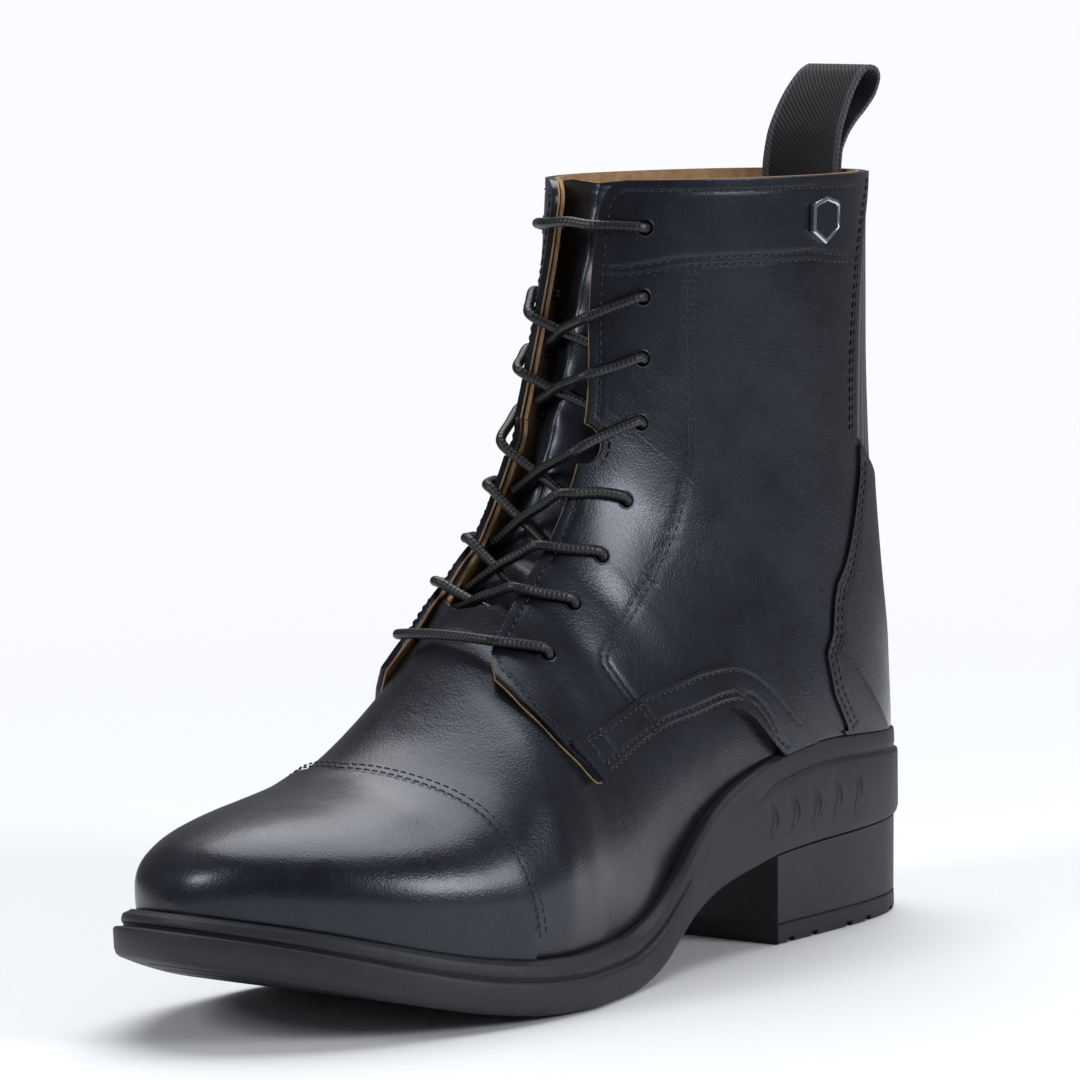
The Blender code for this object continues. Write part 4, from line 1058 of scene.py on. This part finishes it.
def upper_span(cut, side):
    return opening(cut), np.ones(len(cut))


def crease_press(cut, around):
    """Height of the vamp's outer face: level, sunk a little along its flex creases."""
    points = surface(cut, around)
    places = np.concatenate([line for line, _ in creases])
    near = np.full(len(points), 1.0)
    low = (cut > 7) & (cut < 10)
    if low.any():
        apart = np.linalg.norm(points[low][:, None, :] - places[None, ::4, :], axis=2).min(1)
        near[low] = apart
    return -0.14 * MM * np.exp(-((near / (1.6 * MM)) ** 2))


VAMP_THICKNESS = 0.9 * MM
vamp = panel("vamp", LEATHER, UPPER_ROWS, upper_span, -VAMP_THICKNESS, crease_press, 76, edge=0)
lining = panel(
    "lining", SUEDE, rows_spaced(0.6, COLLAR, 3 * MM),
    lambda cut, side: (np.where(cut > 16.9, opening(cut) - 0.007, opening(cut)), np.ones(len(cut))),
    -WALL, -0.95 * MM, 50, edge=0,
)

# %% [markdown]
# ## Quarters
# The two quarters make the sides of the shaft. Each folds back at the facing edge, which catches a
# thin bright line, and is punched for eight eyelets and one round flex notch.

# %% Quarters
def quarter_span(cut, side):
    return facing_edge(cut) + corner(cut), quarter_end(cut, side)


quarters = {}
for side, name in ((1, "quarter_lateral"), (-1, "quarter_medial")):
    quarters[side] = panel(
        name, LEATHER, rows_spaced(9.2, COLLAR, 1.25 * MM), quarter_span,
        lambda cut, around: GAP * 0.3 + stand(cut, around), on_quarter, 84, (side,),
        QUARTER_SEAMS[side], 0.5 * MM,
    )


def frame_on(cut, around, raised=0.0):
    """Place on the skin whose Z points outward and whose Y points along the boot."""
    out = Vector(normals(cut, around))
    along = Vector(skin(cut + 0.1, around, raised) - skin(cut - 0.1, around, raised)).normalized()
    side = along.cross(out).normalized()
    along = out.cross(side)
    turn = Matrix((side, along, out)).transposed().to_4x4()
    return Matrix.Translation(Vector(skin(cut, around, raised))) @ turn


def punch(name, places, radius, depth):
    """Round cutters through the skin at each place."""
    shape = bmesh.new()
    for place in places:
        bmesh.ops.create_cone(
            shape, cap_ends=True, segments=28, radius1=radius, radius2=radius, depth=depth, matrix=place
        )
    mesh = bpy.data.meshes.new(name)
    shape.to_mesh(mesh)
    shape.free()
    return link_mesh(name, mesh)


def backing_span(cut, side):
    """The quarter's own lining: a strip that shows past the facing and the lower edge by a hair."""
    start, end = quarter_span(cut + 0.02, side)
    narrow = np.minimum(end, start + 0.14)
    return start - 0.0016, np.where(cut < 10.4, end + 0.0012, narrow)


backings = {}
for side, name in ((1, "facing_lining_lateral"), (-1, "facing_lining_medial")):
    backings[side] = panel(
        name, SUEDE, rows_spaced(9.18, COLLAR - 0.08, 1.6 * MM), backing_span,
        lambda cut, around: stand(cut, around) - 0.3 * MM, lambda cut, around: stand(cut, around) + 0.2 * MM,
        40, (side,), (), 0.2 * MM,
    )


EYELETS = {}
for side in (1, -1):
    EYELETS[side] = [frame_on(cut, side * float(read(EYELET_LINE, "edge", cut))) for cut in EYELET_CUTS]
    holes = punch("holes", EYELETS[side], EYELET_DIAMETER / 2, 16 * MM)
    notch = frame_on(NOTCH_CUT, side * float(facing_edge(NOTCH_CUT)))
    bite = punch("bite", [notch], NOTCH_DIAMETER / 2, 12 * MM)
    for piece in (quarters[side], backings[side], vamp, lining):
        cut_with(piece, [holes, bite])
    drop(holes, bite)
for piece in (quarters[1], quarters[-1], backings[1], backings[-1], vamp, lining):
    sharpen(piece.data, 40)
finish_piece(vamp, "black_leather", "upper")
finish_piece(lining, "tan_suede", "upper")
finish_piece(backings[1], "tan_suede")
finish_piece(backings[-1], "tan_suede")
finish_piece(quarters[1], "black_leather", "quarter_lateral")
finish_piece(quarters[-1], "black_leather", "quarter_medial")

# %% [markdown]
# ## Straps, toe cap, counter
# Overlays are sewn on after the quarters: a curved strap over each quarter's lower edge, a straight
# cap over the toe, and a foxing round the heel.

# %% Overlays
def strap_span(cut, side):
    end = quarter_end(cut, side)
    return np.minimum(read(STRAP_EDGE, "edge", cut), end - 0.012), end


for side, name in ((1, "strap_lateral"), (-1, "strap_medial")):
    base = 2 * GAP + QUARTER_THICKNESS - 0.5 * MM
    strap = panel(
        name, LEATHER, rows_spaced(9.6, 15.26, 1.1 * MM), strap_span,
        lambda cut, around: base + stand(cut, around), on_strap, 60, (side,), STRAP_SEAMS[side],
    )
    finish_piece(strap, "black_leather", name)

CAP_RAISED = GAP + CAP_THICKNESS
cap_start = 0.1
while skin(cap_start, 0.0, CAP_RAISED)[2] < rim(LENGTH) - 1.5 * MM:
    cap_start += 0.02
cap_end = CAP_SEAM["cut"][-1]


def cap_bend(cut, share):
    """Cut numbers drawn forward so that the cap ends on its curved seam."""
    return cap_start + (cut - cap_start) * (read(CAP_SEAM, "cut", share) - cap_start) / (cap_end - cap_start)


cap = panel(
    "toe_cap", LEATHER, rows_spaced(cap_start, cap_end, 1.3 * MM),
    lambda cut, side: (np.zeros(len(cut)), rim_share(cut, side, CAP_RAISED)),
    0.05 * MM, CAP_RAISED, 70, (1, -1), CAP_SEAMS, 0.35 * MM, cap_bend,
)
finish_piece(cap, "black_leather", "toe_cap")


def counter_span(cut, side):
    end = rim_share(cut, side, COUNTER_RAISED)
    end = np.where(end > 0.995, 1.0, end)
    return np.minimum(read(COUNTER_EDGE, "edge", cut), end - 0.01), end


counter = panel(
    "heel_counter", LEATHER, rows_spaced(COUNTER_EDGE["at"][0], COUNTER_TOP, 1.2 * MM), counter_span,
    0.1 * MM, COUNTER_RAISED, 70, (1, -1), COUNTER_SEAMS, 0.5 * MM,
)
finish_piece(counter, "black_leather", "heel_counter")

# %% [markdown]
# ## Elastic and tongue
# A strip of ribbed elastic closes the back of the shaft above the counter. The tongue is soft
# leather with its own suede lining, and its top corners are rounded.

# %% Elastic, tongue
def lay_uv(piece, across, along):
    """A UV map in metres from each point's own two functions."""
    layer = piece.data.uv_layers.new(name="UVMap")
    for loop in piece.data.loops:
        place = piece.data.vertices[loop.vertex_index].co
        layer.data[loop.index].uv = (across(place), along(place))


gore = panel(
    "elastic_gore", ELASTIC, rows_spaced(COUNTER_TOP + 0.1, COLLAR, 1.5 * MM),
    lambda cut, side: (read(COUNTER_EDGE, "edge", cut) - 0.02, np.ones(len(cut))),
    -0.2 * MM, GAP + GORE_THICKNESS, 50, (1, -1), (), 0.2 * MM,
)
lay_uv(gore, lambda p: p.x, lambda p: p.z)
finish_piece(gore, "black_elastic", "elastic_gore")


def tongue_drop(cut, around):
    """How far the tongue's face lies under the upper's outer face: it bows up to the facings."""
    share = np.clip((cut - THROAT + 0.4) / 0.9, 0, 1)
    share = share * share * (3 - 2 * share)
    near = WALL + GAP
    aside = np.clip(np.abs(around) / 0.24, 0, 1) ** 2
    deep = TONGUE_DROP + (3.4 * MM - TONGUE_DROP) * aside
    fold = 0.5 * MM * np.sin(cut * 3.1 + 5 * around) * np.sin(cut * 1.3 + 0.8) * share
    return near + (deep + fold - near) * share


def tongue_span(cut, side):
    """The tongue's half width, rounded off at its top corners."""
    left = np.clip((cut - 24.1) / 0.9, 0, 1)
    return np.zeros(len(cut)), 0.46 * np.sqrt(np.maximum(1 - 0.8 * left**2, 0))


for name, low, high, look, slot in (
    ("tongue", TONGUE_THICKNESS / 2, 0.0, LEATHER, "black_leather"),
    ("tongue_lining", TONGUE_THICKNESS, TONGUE_THICKNESS / 2, SUEDE, "tan_suede"),
):
    piece = panel(
        name, look, rows_spaced(9.9, COLLAR, 2.5 * MM), tongue_span,
        lambda cut, around: -tongue_drop(cut, around) - low,
        lambda cut, around: -tongue_drop(cut, around) - high,
        40, (1, -1), (), 0.3 * MM,
    )
    finish_piece(piece, slot, "tongue")

# %% [markdown]
# ## Stitches
# Each stitch is a small spindle of waxed thread that dips into the leather at both ends.

# %% Sew
for side, word in ((1, "lateral"), (-1, "medial")):
    sew(f"stitches_quarter_{word}", QUARTER_SEAMS[side])
    sew(f"stitches_strap_{word}", STRAP_SEAMS[side])
sew("stitches_toe_cap", CAP_SEAMS)
sew("stitches_counter", COUNTER_SEAMS)
notch_rims = []
for side in (1, -1):
    place = frame_on(NOTCH_CUT, side * float(facing_edge(NOTCH_CUT)), QUARTER_TOP)
    turns = np.radians(np.linspace(-78, 78, 40))
    reach = NOTCH_DIAMETER / 2 + 2.0 * MM
    ring = np.array([
        place @ Vector((side * reach * math.cos(t), reach * math.sin(t), -0.1 * MM)) for t in turns
    ])
    notch_rims.append((ring, np.repeat(np.array([place.to_3x3() @ Vector((0, 0, 1))]), 40, 0)))
sew("stitches_notches", notch_rims)

# %% [markdown]
# ## Lace
# One round waxed braid, 3 mm thick. It lies over each facing from its eyelet to the lip, crosses
# the throat, dives under the other facing and comes up through that side's next eyelet. The rows
# follow the photograph: the outer side's strand lies on top at each crossing.

# %% Run the lace
def lace_height(cut, around):
    """Height of the lace's middle where it lies on a facing."""
    return QUARTER_TOP + LACE_DIAMETER / 2 + 0.1 * MM + stand(cut, around)


def over_facing(side, start, end):
    """Points of the lace over a facing, from its eyelet at one cut to the lip at another."""
    near = float(read(EYELET_LINE, "edge", start)) - 0.006
    lip = float(facing_edge(end)) - 0.016
    points = []
    for share in (0, 0.5, 1.0):
        cut = start + (end - start) * share
        around = near + (lip - near) * share
        points.append(skin(cut, side * around, lace_height(cut, around)))
    return points


def through_eyelet(side, cut):
    """Points of the lace that comes up through an eyelet."""
    line = float(read(EYELET_LINE, "edge", cut))
    return [skin(cut, side * (line + 0.004), h * MM) for h in (-4.6, -1.0, 1.6)]


def strand(side, row):
    """One crossing: up through the eyelet, over the facing, across and under the other one."""
    start = EYELET_CUTS[row]
    pitch = EYELET_CUTS[row + 1] - start
    lip = start + pitch * LACE_FALL[row - 1]
    end = max(start + pitch * 1.3, THROAT + 0.5)
    lifted = 0.38 * LACE_DIAMETER * side
    points = through_eyelet(side, start) + over_facing(side, start, lip)
    last = skin(end, -side * (float(facing_edge(end)) + 0.012), -(WALL + 0.5 * MM + LACE_DIAMETER / 2))
    here = points[-1]
    for share in (0.25, 0.5, 0.75):
        rise = lifted * (1 - abs(2 * share - 1))
        points.append(here + (last - here) * share + np.array([0, -0.7 * rise, 0.7 * rise]))
    points.append(last)
    return points


def tube(name, points, radius, look, sides=14, step=0.8 * MM):
    """Round cord along points, with closed ends and a UV map of length and turn."""
    points = np.array(points)
    index = np.arange(len(points), dtype=float)
    fine = np.linspace(0, len(points) - 1, len(points) * 12)
    line = np.stack([smooth(index, points[:, k], fine) for k in range(3)], 1)
    far = distance_along(line)
    at = np.linspace(0, far[-1], max(int(far[-1] / step), 4))
    line = at_distance(line, far, at)
    for _ in range(3):
        line[1:-1] = 0.25 * line[:-2] + 0.5 * line[1:-1] + 0.25 * line[2:]
    run = np.gradient(line, axis=0)
    run /= np.linalg.norm(run, axis=1)[:, None]
    up = np.array([0.0, -0.3, 1.0])
    rings = []
    for along in run:
        up = up - along * up.dot(along)
        up /= np.linalg.norm(up)
        rings.append((np.cross(along, up), up.copy()))
    turns = np.arange(sides) * math.tau / sides
    verts = []
    for place, (across, above) in zip(line, rings):
        for turn in turns:
            verts.append(place + radius * (math.cos(turn) * across + math.sin(turn) * above))
    faces, uvs = ring_faces(len(line), sides), []
    for i in range(len(line) - 1):
        for j in range(sides):
            low, high = j / sides, (j + 1) / sides
            uvs += [(at[i], low), (at[i], high), (at[i + 1], high), (at[i + 1], low)]
    for ring in (range(sides), range(len(verts) - 1, len(verts) - 1 - sides, -1)):
        faces.append(tuple(reversed(list(ring))))
        uvs += [(0, 0)] * sides
    mesh = bpy.data.meshes.new(name)
    mesh.from_pydata([tuple(v) for v in verts], [], faces)
    layer = mesh.uv_layers.new(name="UVMap")
    layer.data.foreach_set("uv", np.array(uvs, float).ravel())
    mesh.shade_smooth()
    return link_mesh(name, mesh, look), far[-1]


lace_total = 0.0
for side, word in ((1, "lateral"), (-1, "medial")):
    for row in range(1, 7):
        points = strand(side, row)
        goal = EYELET_CUTS[row + 1]
        line = float(read(EYELET_LINE, "edge", goal))
        points.append(skin(goal, -side * (line - 0.03), -(WALL + 0.6 * MM + LACE_DIAMETER / 2)))
        points.append(skin(goal, -side * (line + 0.004), -4.9 * MM))
        piece, length = tube(f"lace_{word}_{row}", points, LACE_DIAMETER / 2, CORD)
        lace_total += length
        finish_piece(piece, "waxed_cord", f"lace_cross_{row}")
for name, cut, fall in (("lace_bar_top", EYELET_CUTS[0], 0.3), ("lace_bar_bottom", EYELET_CUTS[-1], 1.05)):
    outer = through_eyelet(1, cut) + over_facing(1, cut, cut - fall)
    inner = through_eyelet(-1, cut) + over_facing(-1, cut, cut - fall)
    middle = (outer[-1] + inner[-1]) / 2 + np.array([0, -0.8 * MM, 0.8 * MM])
    piece, length = tube(name + "_cord", outer + [middle] + inner[::-1], LACE_DIAMETER / 2, CORD)
    lace_total += length
    finish_piece(piece, "waxed_cord", name)
print("lace that shows, mm:", round(lace_total / MM))

# %% [markdown]
# The eyelets are plain punched holes whose rolled rim catches a thin bright ring.

# %% Eyelet rims
for side, word in ((1, "lateral"), (-1, "medial")):
    shape = bmesh.new()
    for cut in EYELET_CUTS:
        line = float(read(EYELET_LINE, "edge", cut))
        place = frame_on(cut, side * line, float(on_quarter(np.array([cut]), np.array([line]))[0]))
        ring_points = []
        for i in range(28):
            turn = math.tau * i / 28
            ring = []
            for j in range(8):
                tilt = math.tau * j / 8
                reach = EYELET_DIAMETER / 2 + 0.2 * MM + 0.38 * MM * math.cos(tilt)
                rise = 0.3 * MM * math.sin(tilt)
                spot = Vector((reach * math.cos(turn), reach * math.sin(turn), rise))
                ring.append(shape.verts.new(place @ spot))
            ring_points.append(ring)
        for i in range(28):
            for j in range(8):
                a, b = ring_points[i], ring_points[(i + 1) % 28]
                shape.faces.new((a[j], b[j], b[(j + 1) % 8], a[(j + 1) % 8]))
    bmesh.ops.recalc_face_normals(shape, faces=shape.faces)
    mesh = bpy.data.meshes.new(f"eyelet_rims_{word}")
    shape.to_mesh(mesh)
    shape.free()
    mesh.shade_smooth()
    finish_piece(link_mesh(f"eyelet_rims_{word}", mesh, LEATHER), "black_leather")

# %% [markdown]
# ## Pull loop and badge
# The loop is 28 mm twill webbing with a purple-grey stripe along both edges, folded over and sewn
# inside the collar. The badge is a small shield: a polished rim round a dark blank face.

# %% Pull loop
LOOP_WIDTH = 28 * MM
LOOP_THICKNESS = 1.3 * MM
LOOP_RISE = 30.5 * MM
LOOP_LEAN = 12.7 * MM
LOOP_TWIST = 11.5
collar_back = skin(COLLAR, 1.0, 0.0)
wall_line = skin(np.array([22.5, 23.0, 23.5, 24.0, COLLAR]), np.ones(5), np.zeros(5))[:, 1].min()
loop_seat = wall_line - WALL - 2 * GAP - LOOP_THICKNESS / 2
LOOP_PATH = table("height lean layer", """
-0.85 0.00 1.0
-0.40 0.00 1.0
0.00 0.00 1.0
0.30 0.08 1.0
0.60 0.36 1.0
0.82 0.66 1.0
0.96 0.93 1.0
1.00 1.13 1.0
0.97 1.34 1.0
0.88 1.44 1.0
0.74 1.34 1.0
0.60 1.02 0.8
0.46 0.58 0.5
0.32 0.22 0.1
0.16 0.02 0.0
0.00 0.00 0.0
-0.40 0.00 0.0
-0.85 0.00 0.0
""")
index = np.arange(len(LOOP_PATH["height"]), dtype=float)
steps = np.linspace(0, index[-1], 130)
rises = smooth(index, LOOP_PATH["height"], steps) * LOOP_RISE
layers = smooth(index, LOOP_PATH["layer"], steps)
leans = smooth(index, LOOP_PATH["lean"], steps) * LOOP_LEAN - layers * (LOOP_THICKNESS + GAP)
loop_line = np.stack([leans, rises], 1)
loop_run = np.gradient(loop_line, axis=0)
loop_run /= np.linalg.norm(loop_run, axis=1)[:, None]
loop_far = distance_along(loop_line)
LOOP_COLUMNS = 29
outer, inner, uv_of = [], [], {}
for i, ((lean, rise), (along, up)) in enumerate(zip(loop_line, loop_run)):
    free = min(max(rise / LOOP_RISE, 0), 1)
    twist = math.radians(LOOP_TWIST) * free * free
    for j in range(LOOP_COLUMNS):
        across = (j / (LOOP_COLUMNS - 1) - 0.5) * LOOP_WIDTH
        bow = (1 - free) * across * across * 1.9 / BALL_WIDTH
        for half, sheet in ((0.5, outer), (-0.5, inner)):
            y = lean - bow + up * half * LOOP_THICKNESS
            z = rise - along * half * LOOP_THICKNESS
            x = across * math.cos(twist) + y * math.sin(twist)
            y = y * math.cos(twist) - across * math.sin(twist)
            sheet.append((x, loop_seat + y, collar_back[2] + z))
        uv_of[i * LOOP_COLUMNS + j] = (across, loop_far[i])
loop = shell("pull_loop", outer, inner, grid_faces(len(loop_line), LOOP_COLUMNS), WEBBING)
loop.data.materials.append(STRIPE)
layer = loop.data.uv_layers.new(name="UVMap")
for loop_corner in loop.data.loops:
    layer.data[loop_corner.index].uv = uv_of[loop_corner.vertex_index % len(outer)]
for face in loop.data.polygons:
    across = np.mean([uv_of[v % len(outer)][0] for v in face.vertices])
    inside = all(v < len(outer) for v in face.vertices)
    if abs(across) > LOOP_WIDTH / 2 - 2.1 * MM or inside:
        face.material_index = 1
round_edges(loop, 0.3 * MM)
finish_piece(loop, "black_elastic", "pull_loop")

# %% [markdown]
# The badge's rim and face are stacks of one shield outline, each level drawn in a little and raised.

# %% Badge
BADGE_WIDTH = 14 * MM
BADGE_HEIGHT = 14 * MM
badge_place = frame_on(23.94, 0.655, 2 * GAP + QUARTER_THICKNESS - 0.3 * MM)
SHIELD = [
    (-0.5, 0.34), (-0.40, 0.40), (0, 0.5), (0.40, 0.40), (0.5, 0.34), (0.5, -0.22), (0, -0.5), (-0.5, -0.22),
]
RIM_LEVELS = [(1.0, 0.0), (1.0, 1.3), (0.93, 1.75), (0.86, 1.8), (0.80, 1.35), (0.79, 1.0)]
FACE_LEVELS = [(0.82, 0.8), (0.82, 1.25), (0.78, 1.4)]


def badge_part(name, levels, look):
    """A closed stack of shields, each drawn in by a share and raised by some millimetres."""
    rings = [
        [badge_place @ Vector((u * s * BADGE_WIDTH, v * s * BADGE_HEIGHT, h * MM)) for u, v in SHIELD]
        for s, h in levels
    ]
    return prism(name, rings, look, 25)


rim_piece = badge_part("badge_rim", RIM_LEVELS, CHROME)
round_edges(rim_piece, 0.15 * MM)
finish_piece(rim_piece, "badge_chrome", "badge")
finish_piece(badge_part("badge_face", FACE_LEVELS, ENAMEL), "badge_chrome", "badge")

# %% [markdown]
# ## Sole
# The cup sole is one moulding: a tread slab, a side groove under a rounded bead, and a deep cup
# round the heel with five crescent flutes. It is built as rings from the underside up, then hollowed
# by the last, and the flutes and tread are cut from it, as the mould's own inserts do.

# %% Outsole
def last_body(raised):
    """The last as one closed body, raised all round, to hollow the sole."""
    rows = np.concatenate([[0.02, 0.2], rows_spaced(0.5, COLLAR, 4 * MM)])
    shares = np.concatenate([np.linspace(0, 0.9, 24), np.linspace(0.92, 1, 6)])
    width, size = len(shares), len(rows) * len(shares)
    cut = np.repeat(rows, width)
    points, faces = [], []
    for side in (1, -1):
        around = side * np.tile(shares, len(rows))
        flat = surface(cut, around)
        place = flat + normals(cut, around) * raised
        edge = np.abs(around) == 1
        out = (place - flat) * (1, 1, 0)
        out /= np.maximum(np.linalg.norm(out, axis=1), 1e-9)[:, None]
        place[edge] = (flat + out * raised - np.array([0, 0, raised]))[edge]
        points.append(place)
        faces += grid_faces(len(rows), width, 0 if side > 0 else size, side)
    for edge in range(width - 1, size - width, width):
        faces.append([edge, size + edge, size + edge + width, edge + width])
    for first in (0, size - width):
        ring = [first + j for j in range(width)]
        faces.append(ring + [size + i for i in ring[:0:-1]])
    points, faces, _ = weld(np.concatenate(points), faces)
    return make_object("last_cutter", points, faces, None)


COUNT = 150
edge = outline(COUNT)
into = inward(edge)
share = np.clip(edge[:, 1] / LENGTH, 0, 1)
cut = read(SIDE, "cut", share) * GROOVE_DEPTH
tall = np.clip(read(SIDE, "rim", share) - 0.5, 0, 1)
bead = 1.3 * cut + 0.8 * MM - 0.3 * MM * tall
RINGS = [
    (2.0 * SOLE_EDGE_ROUND + 0 * cut, "ground", 0),
    (0.9 * SOLE_EDGE_ROUND + 0 * cut, "ground", 0.25 * SOLE_EDGE_ROUND),
    (0.4 * SOLE_EDGE_ROUND + 0 * cut, "ground", 0.6 * SOLE_EDGE_ROUND),
    (0.1 * SOLE_EDGE_ROUND + 0 * cut, "ground", 1.6 * SOLE_EDGE_ROUND),
    (0 * cut, "groove", -1.6 * MM),
    (0.08 * cut, "groove", -0.9 * MM),
    (0.3 * cut, "groove", -0.5 * MM),
    (0.8 * cut, "groove", -0.25 * MM),
    (cut, "groove", -0.1 * MM),
    (cut, "groove", 0.5 * MM),
    (0.85 * cut, "groove", 0.9 * MM),
    (0.8 * cut, "groove", 1.6 * MM),
    (0.85 * cut, "rim", -2.6 * MM),
    (cut, "rim", -1.5 * MM),
    (bead, "rim", -0.6 * MM),
    (bead + 0.5 * MM, "rim", -0.15 * MM),
    (bead + 1.4 * MM, "rim", 0),
]
levels = []
for inset, line, above in RINGS:
    ring = edge + into * inset[:, None]
    along = np.clip(ring[:, 1], 0, LENGTH)
    height = ground(along) if line == "ground" else rim(along)
    if line == "groove":
        height = height - read(SIDE, "groove", along / LENGTH) * MM
    levels.append(np.stack([ring[:, 0], y_of(ring[:, 1]), height + above], 1))
size = len(edge)
faces = ring_faces(len(levels), size)
for base in (0, (len(levels) - 1) * size):
    for i in range(COUNT - 1):
        faces.append((base + i, base + i + 1, base + size - i - 1, base + (size - i) % size))
outsole = make_object("outsole_moulded", *weld(np.concatenate(levels), faces)[:2], RUBBER)


def half_width(along, side):
    """Half width of the sole's outline."""
    return read(OUTLINE, "lateral" if side > 0 else "medial", along / LENGTH) * BALL_WIDTH


def flutes():
    """The curved flutes pressed into both sides of the cup."""
    points, faces = [], []
    spots, around = 21, 14
    wide = 4.4 * MM
    for side in (1, -1):
        for i in range(5):
            centre = (0.29 - 0.036 * i) * LENGTH
            height = 1.36 * HEEL_HEIGHT + 0.9 * MM * i
            base = len(points)
            for k in range(spots):
                reach = 2 * k / (spots - 1) - 1
                along = centre + 5 * MM * reach * reach
                sunk = 1.0 * MM * (1 - 1.3 * reach * reach)
                middle = float(half_width(along, side)) + wide / 2 - sunk
                for j in range(around):
                    turn = math.tau * (j + 0.5) / around
                    points.append((
                        side * (middle + wide / 2 * math.cos(turn)),
                        y_of(along - wide / 2 * math.sin(turn)),
                        height + 6.5 * MM * reach,
                    ))
            faces += ring_faces(spots, around, base)
            faces.append([base + j for j in reversed(range(around))])
            faces.append([base + (spots - 1) * around + j for j in range(around)])
    return make_object("flutes", points, faces, None)


def boxes(name, corners):
    """Separate straight bars as one cutter."""
    sides = ((0, 3, 2, 1), (4, 5, 6, 7), (0, 1, 5, 4), (1, 2, 6, 5), (2, 3, 7, 6), (3, 0, 4, 7))
    points, faces = [], []
    for low, high in corners:
        base = len(points)
        corners_above = ((low[0], low[1]), (high[0], low[1]), (high[0], high[1]), (low[0], high[1]))
        points += [(x, y, z) for z in (low[2], high[2]) for x, y in corners_above]
        faces += [[base + i for i in face] for face in sides]
    return make_object(name, points, faces, None)


treads = []
along = 0.46 * LENGTH
while along < 0.93 * LENGTH:
    low = (9 * MM - float(half_width(along, -1)), y_of(along) - 1.5 * MM, float(ground(along)) - 1.8 * MM)
    high = (float(half_width(along, 1)) - 9 * MM, y_of(along) + 1.5 * MM, float(ground(along)) + 1.8 * MM)
    treads.append((low, high))
    along += 13 * MM
cutters = [flutes(), boxes("treads", treads), last_body(0.15 * MM)]
for cutter in cutters:
    cut_with(outsole, [cutter])
drop(*cutters)
sharpen(outsole.data, 38)
finish_piece(outsole, "black_rubber", "outsole")

# %% [markdown]
# The stacked heel is a rubber block with a harder lift under it. The lift's lower edge has short
# moulding notches.

# %% Heel
def heel_ring(inset):
    """The heel's outline from above, straight across at its front."""
    edge = outline(160)
    points = edge + inward(edge) * inset
    halves = []
    for line in (points[:160], points[160:][::-1]):
        half = [p for p in line if p[1] < HEEL_LENGTH]
        half.append(np.array([np.interp(HEEL_LENGTH, line[:, 1], line[:, 0]), HEEL_LENGTH]))
        halves.append(half)
    return halves[0] + halves[1][::-1]


def level_ring(inset, height):
    """The heel's outline at one height, or at the sole's underside."""
    return [
        (x, y_of(a), float(ground(a)) - 0.05 * MM if height is None else height) for x, a in heel_ring(inset)
    ]


block = prism("heel_block_moulded", [
    level_ring(HEEL_INSET + 1.0 * MM, LIFT_THICKNESS + 0.05 * MM),
    level_ring(HEEL_INSET + 0.55 * MM, LIFT_THICKNESS + 0.5 * MM),
    level_ring(HEEL_INSET + 0.1 * MM, None),
], RUBBER)
finish_piece(block, "black_rubber", "heel_block")
lift = prism("heel_lift_moulded", [
    level_ring(HEEL_INSET + 1.2 * MM, 0.0),
    level_ring(HEEL_INSET + 0.7 * MM, 0.4 * MM),
    level_ring(HEEL_INSET + 0.5 * MM, 0.9 * MM),
    level_ring(HEEL_INSET + 0.5 * MM, LIFT_THICKNESS - 0.5 * MM),
    level_ring(HEEL_INSET + 0.9 * MM, LIFT_THICKNESS),
], LIFT_RUBBER)
notches = boxes("notches", [
    ((-BALL_WIDTH / 2, y - 1.5 * MM, -1.6 * MM), (BALL_WIDTH / 2, y + 1.5 * MM, 1.6 * MM))
    for y in (y_of(share * HEEL_LENGTH) for share in (0.24, 0.44, 0.57, 0.78, 0.92))
])
cut_with(lift, [notches])
drop(notches)
sharpen(lift.data, 38)
finish_piece(lift, "lift_rubber", "heel_lift")

# %% [markdown]
# The sock on the footbed keeps its shape from the frame and only gets the lining's suede.

# %% Sock
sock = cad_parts["insole"]
sock.data.materials.clear()
sock.data.materials.append(SUEDE)
